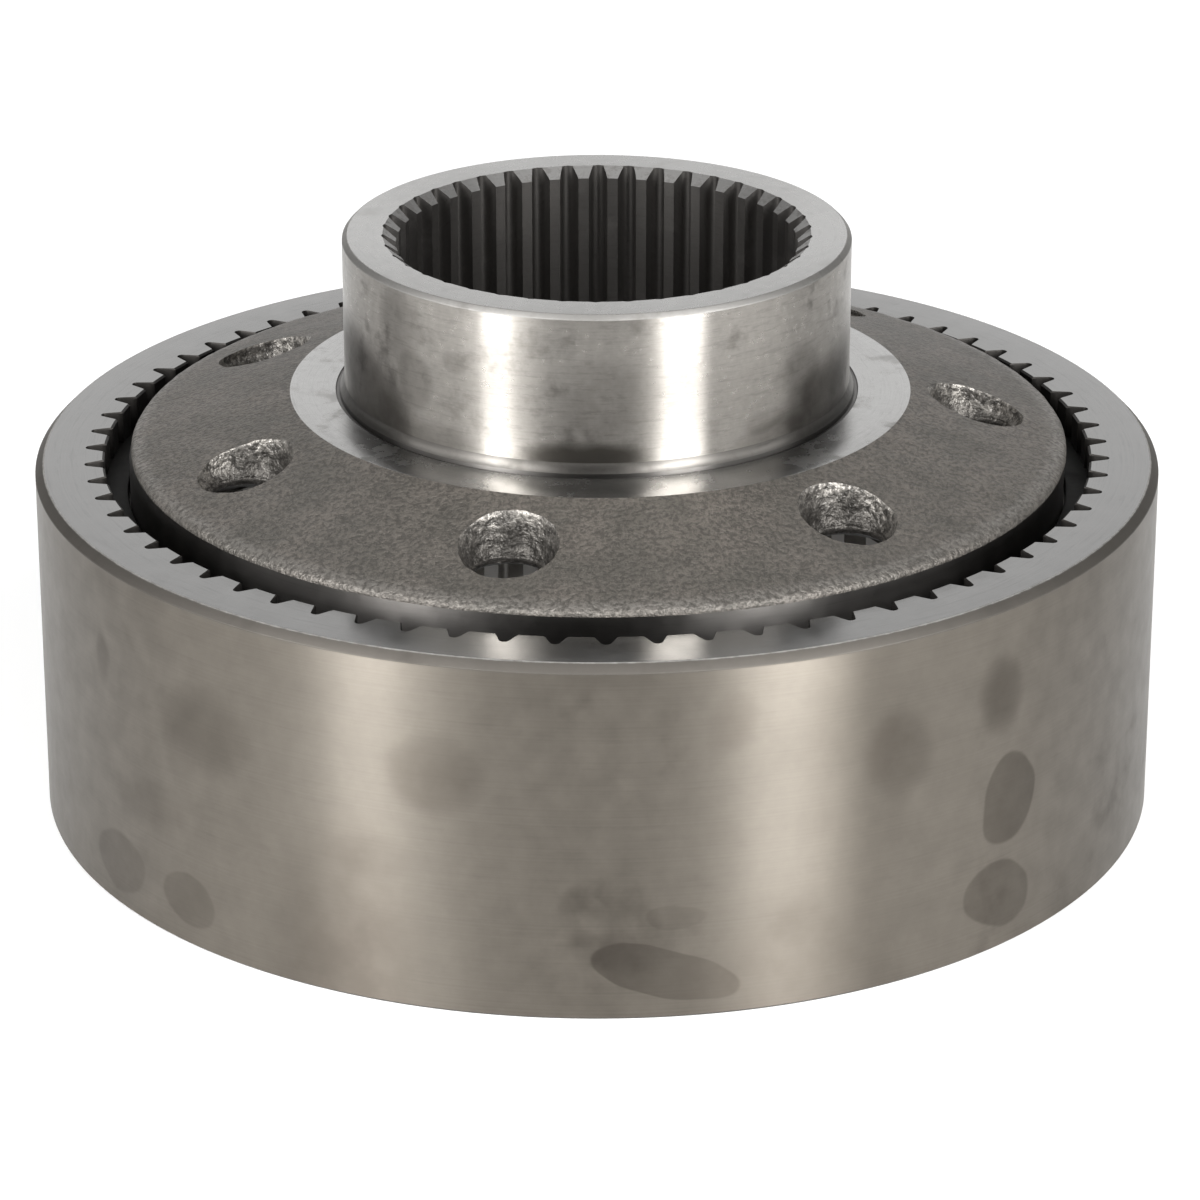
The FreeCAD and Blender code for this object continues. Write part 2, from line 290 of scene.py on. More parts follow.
@dataclass(frozen=True)
class ToothRow:
    """Involute tooth spaces all round the axis, cut outwards into the metal."""

    count: int
    module: float
    space_width: float  # along the pitch circle
    flank_radii: tuple[float, ...]  # where a flank has a point, from the tips to the root round
    root: float
    turn: float  # angle of the middle of a space
    root_steps: int
    land_steps: int
    pressure_angle: float = 20.0

    def half_angle(self, radius: np.ndarray) -> np.ndarray:
        """Half of a space's angle at a radius: w / 2rp + inv(a) - inv(acos(rp cos a / r)).

        Args:
            radius: Where it is measured.

        Returns:
            The half angle in radians.
        """
        pitch = self.count * self.module / 2.0
        at_pitch = math.radians(self.pressure_angle)
        at_radius = np.arccos(pitch * math.cos(at_pitch) / radius)
        involute = math.tan(at_pitch) - at_pitch
        return self.space_width / (2.0 * pitch) + involute - (np.tan(at_radius) - at_radius)

    def outline(self) -> tuple[np.ndarray, np.ndarray]:
        """The whole outline: up one flank, round the root, down the other and over the land.

        The root is an arc through the flanks' ends e and the point r at its middle. Its centre is
        on the middle line of the space, at (e . e - r^2) / (2 ex - 2 r).

        Returns:
            The angle in radians and the radius of each point, all the way round.
        """
        flank = np.array(self.flank_radii)
        half = self.half_angle(flank)
        end = np.array([flank[-1] * math.cos(half[-1]), flank[-1] * math.sin(half[-1])])
        centre = (end @ end - self.root ** 2) / (2.0 * (end[0] - self.root))
        reach = math.atan2(end[1], end[0] - centre)
        swing = np.linspace(-reach, reach, self.root_steps + 1)[1:-1]
        bow = centre + (self.root - centre) * np.exp(1j * swing)
        pitch = 2.0 * math.pi / self.count
        land = np.linspace(half[0], pitch - half[0], self.land_steps + 1)[1:-1]
        angles = np.concatenate([-half, np.angle(bow), half[::-1], land])
        radii = np.concatenate([flank, np.abs(bow), flank[::-1], np.full(len(land), flank[0])])
        starts = math.radians(self.turn) + pitch * np.arange(self.count)
        return (starts[:, None] + angles).ravel(), np.tile(radii, self.count)

    def ring(self, tip: float, height: float, spread: float = 0.0) -> np.ndarray:
        """The outline at one height, with the tips bored back to a radius and the spaces widened.

        Args:
            tip: Radius of the bore that cuts the tips there.
            height: Height of the ring of points.
            spread: How far every side of the spaces moves into the metal.

        Returns:
            The points, one row each.
        """
        angles, radii = self.outline()
        spots = np.maximum(radii, tip) * np.exp(1j * angles)
        if spread:
            along = np.roll(spots, -1) - np.roll(spots, 1)
            spots = spots - 1j * spread * along / np.abs(along)
        return np.stack([spots.real, spots.imag, np.full(len(spots), height)], axis=1)


def bulge(turn: float) -> float:
    """Bulge of an arc that turns the path left by an angle: tan(turn / 4)."""
    return math.tan(turn / 4.0)


@dataclass(frozen=True)
class Stretch:
    """One stretch of a section, from the end of the one before it. A bulge makes it an arc."""

    radius: float
    height: float
    zone: Enum
    steps: int = 1
    bulge: float = 0.0
    toothed: bool = False
    spread: float = 0.0
    cast: float = 0.0  # how much of the casting's unevenness it has
    aside: float = 0.0  # how far its rings lie off the axis, towards +X
    flank: Enum | None = None  # zone of the tooth flanks, where a cone cuts them


def trace_stretch(start: complex, stretch: Stretch) -> np.ndarray:
    """Points along one stretch, without its start.

    A straight one is shared out evenly. An arc turns the start about its centre by equal angles.

    Args:
        start: Where it starts, as radius + height i.
        stretch: The stretch.

    Returns:
        The points, as radius + height i.
    """
    end = complex(stretch.radius, stretch.height)
    share = np.arange(1, stretch.steps + 1) / stretch.steps
    if not stretch.bulge:
        return start + (end - start) * share
    sweep = 4.0 * math.atan(stretch.bulge)
    centre = (start + end) / 2.0 + 1j * (end - start) / (2.0 * math.tan(sweep / 2.0))
    return centre + (start - centre) * np.exp(1j * sweep * share)


def revolve_section(name: str, stretches: list[Stretch], columns: int, teeth: ToothRow) -> Piece:
    """Turn a closed section about the axis, with teeth on the stretches that have them.

    A point is (r cos a, r sin a, z). On a toothed row the angles and the least radii are those
    of the tooth outline. A row that lies aside has r + d cos a instead of r. Cast rows move along
    the section's normal by the lumps of the cast skin.

    Args:
        name: The object's name.
        stretches: The section, up the inside and down the outside. The last one ends at the start.
        columns: Points round the axis, the same as the tooth outline has.
        teeth: The tooth row of the toothed stretches.

    Returns:
        The closed mesh object, with each face's zone as its material number.
    """
    last = stretches[-1]
    spot = complex(last.radius, last.height)
    rows, owners = [], []
    for stretch in stretches:
        traced = trace_stretch(spot, stretch)
        rows.extend(traced)
        owners.extend([stretch] * len(traced))
        spot = traced[-1]
    section = np.array(rows)
    along = np.roll(section, -1) - np.roll(section, 1)
    outward = 1j * along / np.abs(along)
    even = np.linspace(0.0, 2.0 * math.pi, columns, endpoint=False)
    even += math.radians(teeth.turn) - teeth.half_angle(np.array(teeth.flank_radii))[0]
    rings = []
    for here, normal, owner in zip(section, outward, owners):
        if owner.toothed:
            rings.append(teeth.ring(here.real, here.imag, owner.spread))
            continue
        reach = here.real + owner.aside * np.cos(even)
        ring = np.stack(
            [reach * np.cos(even), reach * np.sin(even), np.full(columns, here.imag)], axis=1
        )
        if owner.cast:
            push = owner.cast * lumpy(ring, CAST_LUMPS)
            ring[:, 0] += push * normal.real * np.cos(even)
            ring[:, 1] += push * normal.real * np.sin(even)
            ring[:, 2] += push * normal.imag
        rings.append(ring)
    base = teeth.outline()[1]
    bands = wrapped_faces(len(rings), columns).reshape(len(rings), columns, 4)
    faces, zones = [], []
    for index, band in enumerate(bands):
        after = (index + 1) % len(rings)
        owner = owners[after]
        if owner.flank is None:
            faces.extend(band.tolist())
            zones.append(np.full(columns, owner.zone.value))
            continue
        halves, on_cone = split_cone_band(band, base, (section[index].real, section[after].real))
        faces.extend(halves.tolist())
        zones.append(np.where(on_cone, owner.zone.value, owner.flank.value))
    return make_object(name, np.concatenate(rings), faces, np.concatenate(zones))


# Node trees


class NodeTree:
    """A shader tree being drawn: adds nodes and joins their sockets."""

    def __init__(self, tree: Tree) -> None:
        """Start on an empty or a new tree."""
        self.tree = tree

    def add(self, kind: str, **settings: object) -> bpy.types.Node:
        """Add a node of a kind and set its properties.

        Args:
            kind: The node's type.
            settings: Its properties by name.

        Returns:
            The node.
        """
        node = self.tree.nodes.new(kind)
        for name, setting in settings.items():
            setattr(node, name, setting)
        return node

    def feed(self, socket: Socket, source: object) -> None:
        """Give a socket a number, a colour or another socket's output.

        Args:
            socket: The input.
            source: What it is given.
        """
        if isinstance(source, Socket):
            self.tree.links.new(source, socket)
        else:
            socket.default_value = source

    def fill(self, node: bpy.types.Node, **inputs: object) -> bpy.types.Node:
        """Feed a node's inputs, named with _ for a space, and hand the node back.

        Args:
            node: The node.
            inputs: What each input is given, by name.

        Returns:
            The same node.
        """
        for name, source in inputs.items():
            self.feed(node.inputs[name.replace("_", " ")], source)
        return node

    def math(self, operation: str, *sources: object, clamp: bool = False) -> Socket:
        """One step of arithmetic on numbers or sockets.

        Args:
            operation: The math node's operation.
            sources: Its inputs, in order.
            clamp: Whether the result stays within 0 and 1.

        Returns:
            The result.
        """
        node = self.add("ShaderNodeMath", operation=operation, use_clamp=clamp)
        for socket, source in zip(node.inputs, sources):
            self.feed(socket, source)
        return node.outputs[0]

    def squares(self, first: object, second: object) -> Socket:
        """The sum of two squares."""
        return self.math("ADD", *(self.math("MULTIPLY", side, side) for side in (first, second)))

    def between(
        self, source: object, low: object, high: object, start: object = 0.0, end: object = 1.0
    ) -> Socket:
        """A smooth rise from start to end as the source goes from low to high.

        Args:
            source: What is compared.
            low: Where the rise starts.
            high: Where it ends.
            start: The value up to there.
            end: The value from there on.

        Returns:
            The result.
        """
        node = self.add("ShaderNodeMapRange", interpolation_type="SMOOTHSTEP")
        self.fill(node, Value=source, From_Min=low, From_Max=high, To_Min=start, To_Max=end)
        return node.outputs["Result"]

    def mix(self, share: object, first: object, second: object) -> Socket:
        """A colour between two colours.

        Args:
            share: 0 for the first colour, 1 for the second.
            first: A colour or a socket.
            second: A colour or a socket.

        Returns:
            The mixed colour.
        """
        node = self.add("ShaderNodeMix", data_type="RGBA")
        self.feed(node.inputs["Factor"], share)
        colours = [socket for socket in node.inputs if socket.type == "RGBA"]
        for socket, colour in zip(colours, (first, second)):
            self.feed(socket, (*colour, 1.0) if isinstance(colour, tuple) else colour)
        return next(socket for socket in node.outputs if socket.type == "RGBA")

    def noise(self, place: object, scale: object, detail: float, rough: float) -> Socket:
        """Solid noise from 0 to 1 at a place."""
        node = self.add("ShaderNodeTexNoise")
        return self.fill(node, Vector=place, Scale=scale, Detail=detail, Roughness=rough).outputs["Fac"]

    def bump(self, height: object, strength: float, depth: float) -> Socket:
        """The normal of a surface with this height, its depth in millimetres."""
        node = self.add("ShaderNodeBump")
        return self.fill(node, Strength=strength, Distance=depth * MM, Height=height).outputs["Normal"]

    def place(self) -> Socket:
        """The piece's own coordinates, in metres."""
        return self.add("ShaderNodeTexCoord").outputs["Object"]

    def use(self, group: Tree, **inputs: object) -> bpy.types.bpy_prop_collection:
        """Place a shared group and feed its inputs.

        Args:
            group: The group.
            inputs: Its inputs by name.

        Returns:
            Its outputs by name.
        """
        return self.fill(self.add("ShaderNodeGroup", node_tree=group), **inputs).outputs


def new_material(name: str) -> tuple[bpy.types.Material, NodeTree, bpy.types.Node]:
    """A new material, with its tree and its shader.

    Args:
        name: The material's name.

    Returns:
        The material, its tree and its shader.
    """
    material = bpy.data.materials.new(name)
    material.use_nodes = True
    shader = next(node for node in material.node_tree.nodes if node.type == "BSDF_PRINCIPLED")
    return material, NodeTree(material.node_tree), shader


def grey(level: float) -> tuple[float, float, float, float]:
    """A grey, as a socket takes it."""
    return (level, level, level, 1.0)


class SharedGroup(NodeTree):
    """A node group that several finishes use, with named inputs and outputs."""

    def __init__(self, name: str, inputs: dict[str, float], outputs: tuple[str, ...]) -> None:
        """Make the group with number inputs, their usual values, and number outputs.

        Args:
            name: The group's name.
            inputs: Each number that it takes, with its usual value.
            outputs: The names of the numbers that it gives.
        """
        super().__init__(bpy.data.node_groups.new(name, "ShaderNodeTree"))
        sockets = [("INPUT", *item) for item in inputs.items()]
        sockets += [("OUTPUT", label, 0.0) for label in outputs]
        for side, label, usual in sockets:
            socket = self.tree.interface.new_socket(label, in_out=side, socket_type="NodeSocketFloat")
            socket.default_value = usual
        self.given = self.add("NodeGroupInput").outputs
        self.result = self.add("NodeGroupOutput").inputs

    def give(self, **outputs: object) -> Tree:
        """Feed the group's outputs, and hand its tree back.

        Args:
            outputs: What each output is given, by name.

        Returns:
            The group's tree.
        """
        for name, source in outputs.items():
            self.feed(self.result[name], source)
        return self.tree

    def round_place(self) -> tuple[Socket, Socket, Socket]:
        """Radius, height and angle about the Z axis: sqrt(x^2 + y^2), z and atan2(x, -y).

        Returns:
            The three, with lengths in metres and the angle in radians.
        """
        split = self.add("ShaderNodeSeparateXYZ")
        self.feed(split.inputs[0], self.place())
        x, y, z = split.outputs
        angle = self.math("ARCTAN2", x, self.math("MULTIPLY", y, -1.0))
        return self.math("SQRT", self.squares(x, y)), z, angle


@dataclass(frozen=True)
class StainAndShade:
    """A darker patch on a turned wall: dried oil, and on the ring's wall also painted shade that dims the
    lamps' highlight bands towards the floor.

    Angle and width are in degrees, seen from above and counted from -Y towards +X. Height and
    tall are in millimetres. Lean is how many millimetres it drops for each degree.
    """

    angle: float
    height: float
    width: float
    tall: float
    weight: float
    edge: float  # 0 for a crisp edge, 1 for one that fades from the middle
    lean: float = 0.0


WALL_STAINS_AND_SHADE = (
    StainAndShade(6.6, 12.2, 14.0, 14.5, 0.85, 0.12, lean=0.62),
    StainAndShade(43.9, 39.6, 6.8, 25.0, 1.0, 0.2),
    StainAndShade(43.0, 14.5, 9.6, 18.0, 0.85, 0.2, lean=0.3),
    StainAndShade(-55.6, 12.0, 10.5, 16.5, 0.5, 0.25),
    StainAndShade(-43.6, 12.0, 8.0, 16.0, 0.6, 0.25),
    StainAndShade(-41.0, 60.0, 15.0, 30.0, 0.75, 1.0),
    StainAndShade(-15.5, 62.0, 11.0, 26.0, 0.95, 0.8),
    StainAndShade(30.0, 62.0, 9.5, 29.0, 0.85, 1.0),
    StainAndShade(42.4, 68.5, 7.6, 25.0, 1.05, 1.0),
    StainAndShade(12.3, 76.0, 6.0, 18.0, 0.6, 0.9),
    StainAndShade(8.0, 27.0, 6.5, 7.0, 0.4, 0.3),
    StainAndShade(-22.0, 39.0, 13.0, 14.0, 0.3, 0.9),
    StainAndShade(-57.0, 66.0, 3.5, 16.0, 0.45, 0.9),
    StainAndShade(-50.0, 34.0, 14.0, 18.0, 0.35, 1.0),
    StainAndShade(20.0, 22.0, 8.0, 14.0, 0.3, 1.0),
    # painted shade: darker towards the floor along the two lamp highlight bands
    StainAndShade(-24.5, -6.0, 20.0, 130.0, 1.3, 1.0),
    StainAndShade(20.0, -4.0, 26.0, 90.0, 0.9, 1.0),
    StainAndShade(25.0, 60.0, 14.0, 110.0, 0.5, 1.0),
    StainAndShade(118.0, 46.0, 11.0, 30.0, 0.8, 0.6),
    StainAndShade(152.0, 18.0, 12.0, 15.0, 0.9, 0.16, lean=-0.4),
    StainAndShade(-128.0, 30.0, 9.0, 22.0, 0.9, 0.15),
    StainAndShade(-164.0, 64.0, 13.0, 26.0, 0.7, 0.9),
)

BOSS_STAINS = (
    StainAndShade(-65.0, 119.5, 58.0, 29.0, 1.1, 1.0, lean=0.35),
    StainAndShade(64.0, 119.0, 46.0, 24.0, 1.0, 1.0, lean=-0.15),
    StainAndShade(42.0, 113.0, 26.0, 12.0, 0.6, 1.0),
    StainAndShade(-36.0, 113.0, 22.0, 12.0, 0.5, 1.0),
    StainAndShade(-3.0, 114.0, 34.0, 12.0, 1.4, 1.0),
    StainAndShade(2.0, 129.0, 26.0, 26.0, 0.3, 1.0),
    StainAndShade(-44.0, 127.0, 12.0, 18.0, 0.4, 0.7),
    StainAndShade(-49.0, 141.0, 16.0, 26.0, 0.4, 1.0),
    StainAndShade(-33.0, 135.0, 8.0, 7.0, 0.25, 0.6),
    StainAndShade(52.0, 128.0, 16.0, 16.0, 0.35, 0.8),
    StainAndShade(40.0, 118.0, 14.0, 8.0, 0.3, 0.7),
    StainAndShade(170.0, 116.0, 60.0, 18.0, 0.6, 0.9),
    StainAndShade(130.0, 132.0, 20.0, 18.0, 0.35, 0.8),
    StainAndShade(-125.0, 134.0, 22.0, 14.0, 0.35, 0.8),
)
STAIN_AND_SHADE_WANDER = ((27.0, 4.0), (36.0, 6.0))  # scale and reach of the noise round, and of that upwards
STAIN_AND_SHADE_CLOUDS = 80.0  # scale of the noise inside a patch


def group_turning() -> Tree:
    """Fine marks of a turning tool, which ring every surface.

    Radius plus height is the distance along the section. Noise along it alone gives endless marks,
    and noise over it and the angle, much finer across than along, gives scratches with ends.

    Returns:
        The group's tree.
    """
    tone_pace, scratches_round, scratches_across = 0.23, 9.0, 0.4
    group = SharedGroup("turning_marks", {"Spacing": 0.0004}, ("Height", "Tone", "Scratches"))
    radius, height, angle = group.round_place()
    travel = group.math("DIVIDE", group.math("ADD", radius, height), group.given["Spacing"])
    for label, pace in (("Height", 1.0), ("Tone", tone_pace)):
        node = group.add("ShaderNodeTexNoise", noise_dimensions="1D")
        group.fill(node, W=group.math("MULTIPLY", travel, pace), Detail=3.0)
        group.give(**{label: node.outputs["Fac"]})
    flat = group.fill(
        group.add("ShaderNodeCombineXYZ"), X=group.math("MULTIPLY", angle, scratches_round),
        Y=group.math("MULTIPLY", travel, scratches_across),
    )
    return group.give(Scratches=group.noise(flat.outputs["Vector"], 1.0, 4.0, 0.7))


def group_cast_grain() -> Tree:
    """Sand-cast skin: two sizes of grain for the height, and slow blotches for the tone.

    Returns:
        The group's tree.
    """
    fine_pace, fine_share, blotches = 2.7, 0.2, 60.0
    group = SharedGroup("cast_grain", {"Grain": 0.0011}, ("Height", "Tone", "Specks"))
    place = group.place()
    scale = group.math("DIVIDE", 1.0, group.given["Grain"])
    coarse = group.noise(place, scale, 2.0, 0.6)
    fine = group.noise(place, group.math("MULTIPLY", scale, fine_pace), 2.0, 0.6)
    return group.give(
        Height=group.math("ADD", coarse, group.math("MULTIPLY", fine, fine_share)),
        Tone=group.noise(place, blotches, 4.0, 0.6), Specks=group.between(fine, 0.56, 0.70),
    )


def group_smudges() -> Tree:
    """Thin film and finger smears: noise cut to soft-edged patches, and finer noise for the tone.

    The patches begin where the noise is over 0.72 - 0.4 times the cover.

    Returns:
        The group's tree.
    """
    fine_pace, soft_edge = 6.0, 0.16
    group = SharedGroup("smudges", {"Size": 0.03, "Cover": 0.5}, ("Mask", "Mottle"))
    place = group.place()
    scale = group.math("DIVIDE", 1.0, group.given["Size"])
    patches = group.noise(place, scale, 5.0, 0.62)
    low = group.math("SUBTRACT", 0.72, group.math("MULTIPLY", group.given["Cover"], 0.4))
    return group.give(
        Mask=group.between(patches, low, group.math("ADD", low, soft_edge)),
        Mottle=group.noise(place, group.math("MULTIPLY", scale, fine_pace), 4.0, 0.65),
    )


def group_edge_rub_and_sheen() -> Tree:
    """Metal painted brighter along one circle, as rubbed wear and a painted edge highlight: 1 on it,
    falling off over a width, broken by noise.

    Returns:
        The group's tree.
    """
    chips, chip_reach = 420.0, 0.9
    group = SharedGroup("edge_rub_and_sheen", {"Radius": 0.1, "Height": 0.0, "Width": 0.002}, ("Mask",))
    radius, height, _ = group.round_place()
    across = group.math("SUBTRACT", radius, group.given["Radius"])
    rise = group.math("SUBTRACT", height, group.given["Height"])
    away = group.math("DIVIDE", group.math("SQRT", group.squares(across, rise)), group.given["Width"])
    broken = group.math("MULTIPLY", group.noise(group.place(), chips, 3.0, 0.6), chip_reach)
    return group.give(Mask=group.between(group.math("ADD", away, broken), 1.35, 0.35))


def group_web_depth() -> Tree:
    """How deep a place lies under a cone about the axis: level - (r - radius) * slope - z.

    Returns:
        The group's tree.
    """
    group = SharedGroup("web_depth", {"Radius": 0.08, "Level": 0.1, "Slope": 0.3}, ("Depth",))
    radius, height, _ = group.round_place()
    out = group.math("SUBTRACT", radius, group.given["Radius"])
    level = group.math("SUBTRACT", group.given["Level"], group.math("MULTIPLY", out, group.given["Slope"]))
    return group.give(Depth=group.math("SUBTRACT", level, height))


def group_stains_and_shade(name: str, stains_and_shade: tuple[StainAndShade, ...], inside: float) -> Tree:
    """The listed patches of dried oil and painted shade on a wall, as one mask.

    Each patch is an ellipse in angle and height: d = (da / w)^2 + (dz / h)^2. Noise moves the
    place before that, so that no outline is even. The weight falls from full at d = 1 - edge to
    nothing at d = 1, and finer noise clouds the inside.

    Args:
        name: The group's name.
        stains_and_shade: The patches.
        inside: Radius in millimetres within which there is no stain.

    Returns:
        The node group.
    """
    group = SharedGroup(name, {}, ("Mask",))
    radius, height, angle = group.round_place()
    place = group.place()
    across, up = (
        group.math("MULTIPLY", group.math("SUBTRACT", group.noise(place, scale, 2.0, 0.5), 0.5), reach)
        for scale, reach in STAIN_AND_SHADE_WANDER
    )
    degrees = group.math("ADD", group.math("DEGREES", angle), across)
    tall = group.math("ADD", group.math("DIVIDE", height, MM), up)
    outside = group.between(radius, (inside - 0.2) * MM, inside * MM)
    total = 0.0
    for stain_and_shade in stains_and_shade:
        aside = group.math("SUBTRACT", degrees, stain_and_shade.angle)
        drop = group.math("MULTIPLY_ADD", aside, stain_and_shade.lean, group.math("SUBTRACT", tall, stain_and_shade.height))
        wide = group.math("DIVIDE", aside, stain_and_shade.width / 2.0)
        deep = group.math("DIVIDE", drop, stain_and_shade.tall / 2.0)
        patch = group.between(group.squares(wide, deep), 1.0 - stain_and_shade.edge, 1.0, stain_and_shade.weight, 0.0)
        total = group.math("ADD", total, patch)
    cloud = group.between(group.noise(place, STAIN_AND_SHADE_CLOUDS, 3.0, 0.6), 0.3, 0.7, 0.85, 1.15)
    return group.give(Mask=group.math("MULTIPLY", group.math("MULTIPLY", total, cloud), outside))


class Groups:
    """The node groups that the finishes share, each built once."""

    def __init__(self) -> None:
        """Build every group."""
        self.turning = group_turning()
        self.cast_grain = group_cast_grain()
        self.smudges = group_smudges()
        self.edge_rub_and_sheen = group_edge_rub_and_sheen()
        self.web_depth = group_web_depth()
        self.stains_and_shade = {
            "ring": group_stains_and_shade("ring_stains_and_shade", WALL_STAINS_AND_SHADE, 144.7),
            "boss": group_stains_and_shade("boss_stains", BOSS_STAINS, 64.8),
        }


# Finishes


@dataclass(frozen=True)
class RubAndSheen:
    """A circle along which the metal is painted brighter: rubbed wear, and a painted highlight on the edge.
    """

    radius: float
    height: float
    width: float

    def mask(self, tree: NodeTree, groups: Groups) -> Socket:
        """1 on the circle and 0 away from it, in a material's tree."""
        sizes = {"Radius": self.radius, "Height": self.height, "Width": self.width}
        return tree.use(groups.edge_rub_and_sheen, **{name: size * MM for name, size in sizes.items()})["Mask"]


@dataclass(frozen=True)
class SteelFinish:
    """Cut steel with a lay that runs round the axis, a thin film of oil and smudges."""

    name: str
    colour: Colour
    film: Colour  # what the smudges turn it to
    roughness: float
    lay: float = 0.6  # how much smoother it is along the tool marks than across them
    mark_spacing: float = 0.0004
    mark_depth: float = 0.004
    scratches: float = 0.35
    mottle: float = 0.25
    smudge_size: float = 0.03
    smudge_cover: float = 0.4
    smudge_weight: float = 0.35
    stained_and_shaded: str = ""  # whose stains it has, with the painted shade on the ring's wall
    stain_and_shade_reach: float = 0.62
    rubs_and_sheens: tuple[RubAndSheen, ...] = ()
    rub_and_sheen_colour: Colour = (0.5, 0.49, 0.47)
    dark: float = 0.72  # its darkest tone, as a share of its colour
    mark_tone: float = 0.16  # how far the tool marks take it there
    mottle_rough: float = 0.12  # what the mottle, the film and the stains add to the roughness
    film_rough: float = 0.25
    stain_and_shade_rough: float = 0.08

    def build(self, groups: Groups) -> bpy.types.Material:
        """Draw the material.

        Args:
            groups: The shared node groups.

        Returns:
            The material.
        """
        material, tree, shader = new_material(self.name)
        marks = tree.use(groups.turning, Spacing=self.mark_spacing)
        smears = tree.use(groups.smudges, Size=self.smudge_size, Cover=self.smudge_cover)
        cover = tree.math("MULTIPLY", smears["Mask"], self.smudge_weight)
        tone = tree.between(marks["Tone"], 0.25, 0.75, 0.0, self.mark_tone)
        tone = tree.math("MULTIPLY_ADD", smears["Mottle"], self.mottle, tone)
        scratch = tree.between(marks["Scratches"], 0.5, 0.72, 0.0, self.scratches)
        tone = tree.math("ADD", tone, scratch, clamp=True)
        colour = tree.mix(tone, self.colour, tuple(self.dark * part for part in self.colour))
        colour = tree.mix(cover, colour, self.film)
        smooth = self.roughness - self.mottle_rough / 2.0
        rough = tree.math("MULTIPLY_ADD", smears["Mottle"], self.mottle_rough, smooth)
        rough = tree.math("MULTIPLY_ADD", cover, self.film_rough, rough)
        # stains, and on the ring's wall painted shade over the highlight bands
        if self.stained_and_shaded:
            stains_and_shade = tree.use(groups.stains_and_shade[self.stained_and_shaded])["Mask"]
            reach = tree.math("MULTIPLY", stains_and_shade, self.stain_and_shade_reach, clamp=True)
            colour = tree.mix(reach, colour, self.film)
            rough = tree.math("MULTIPLY_ADD", stains_and_shade, self.stain_and_shade_rough, rough)
        # edges painted brighter: rubbed wear and a painted edge highlight
        for rub_and_sheen in self.rubs_and_sheens:
            colour = tree.mix(rub_and_sheen.mask(tree, groups), colour, self.rub_and_sheen_colour)
        tangent = tree.add("ShaderNodeTangent", direction_type="RADIAL", axis="Z")
        tree.fill(
            shader, Metallic=1.0, Anisotropic=self.lay, Anisotropic_Rotation=0.25, Base_Color=colour,
            Roughness=rough, Normal=tree.bump(marks["Height"], 0.35, self.mark_depth),
            Tangent=tangent.outputs["Tangent"],
        )
        return material


@dataclass(frozen=True)
class CastFinish:
    """The skin that a sand mould leaves on iron: grainy, dark, with bright specks, and edges painted
    brighter as rubbed wear and a painted highlight.
    """

    name: str
    colour: Colour
    shade: Colour  # of its darker blotches
    speck: Colour
    roughness: float
    metallic: float
    pit: Colour = (0.04, 0.037, 0.034)
    pit_weight: float = 0.45
    grain: float = 0.0011
    grain_height: float = 0.12
    speck_weight: float = 0.25
    rubs_and_sheens: tuple[RubAndSheen, ...] = ()
    rub_and_sheen_weight: float = 0.5
    cone: tuple[float, float, float] | None = None  # radius, level and slope of the web over a hole
    hole_shade: Colour = (0.035, 0.032, 0.029)  # painted shade, darker with depth down a hole
    hole_shade_weight: float = 0.8
    hole_shade_from: float = 1.0  # depths under the web between which it comes in
    hole_shade_full: float = 6.8
    blotch_weight: float = 0.4
    blotch_size: float = 0.022
    polish: float = 0.2  # how much smoother it is where it is rubbed

    def build(self, groups: Groups) -> bpy.types.Material:
        """Draw the material.

        Args:
            groups: The shared node groups.

        Returns:
            The material.
        """
        material, tree, shader = new_material(self.name)
        skin = tree.use(groups.cast_grain, Grain=self.grain)
        smears = tree.use(groups.smudges, Size=self.blotch_size, Cover=0.5)
        colour = tree.mix(tree.between(skin["Tone"], 0.3, 0.7), self.colour, self.shade)
        pits = tree.between(skin["Height"], 0.46, 0.72, self.pit_weight, 0.0)
        colour = tree.mix(pits, colour, self.pit)
        blotches = tree.math("MULTIPLY", smears["Mottle"], self.blotch_weight)
        colour = tree.mix(blotches, colour, self.shade)
        specks_wear_and_sheen = tree.math("MULTIPLY", skin["Specks"], self.speck_weight)
        # edges painted brighter: rubbed wear and a painted edge highlight
        for rub_and_sheen in self.rubs_and_sheens:
            edge = tree.math("MULTIPLY", rub_and_sheen.mask(tree, groups), tree.between(skin["Height"], 0.33, 0.79))
            specks_wear_and_sheen = tree.math("MAXIMUM", specks_wear_and_sheen, tree.math("MULTIPLY", edge, self.rub_and_sheen_weight))
        colour = tree.mix(specks_wear_and_sheen, colour, self.speck)
        # painted shade: darker with depth under the web, down the cored holes
        if self.cone:
            radius, level, slope = self.cone
            depth = tree.use(groups.web_depth, Radius=radius * MM, Level=level * MM, Slope=slope)["Depth"]
            hole_shade = tree.between(depth, self.hole_shade_from * MM, self.hole_shade_full * MM, 0.0, self.hole_shade_weight)
            colour = tree.mix(hole_shade, colour, self.hole_shade)
        tree.fill(
            shader, Metallic=self.metallic, Base_Color=colour,
            Roughness=tree.math("MULTIPLY_ADD", specks_wear_and_sheen, -self.polish, self.roughness),
            Normal=tree.bump(skin["Height"], 0.8, self.grain_height),
        )
        return material


# The ring gear


class RingZone(Enum):
    """Surfaces of the ring gear, in the order of its materials."""

    TEETH = 0
    FACE = 1
    CHAMFER = 2
    WALL = 3
    LOW_TEETH = 4


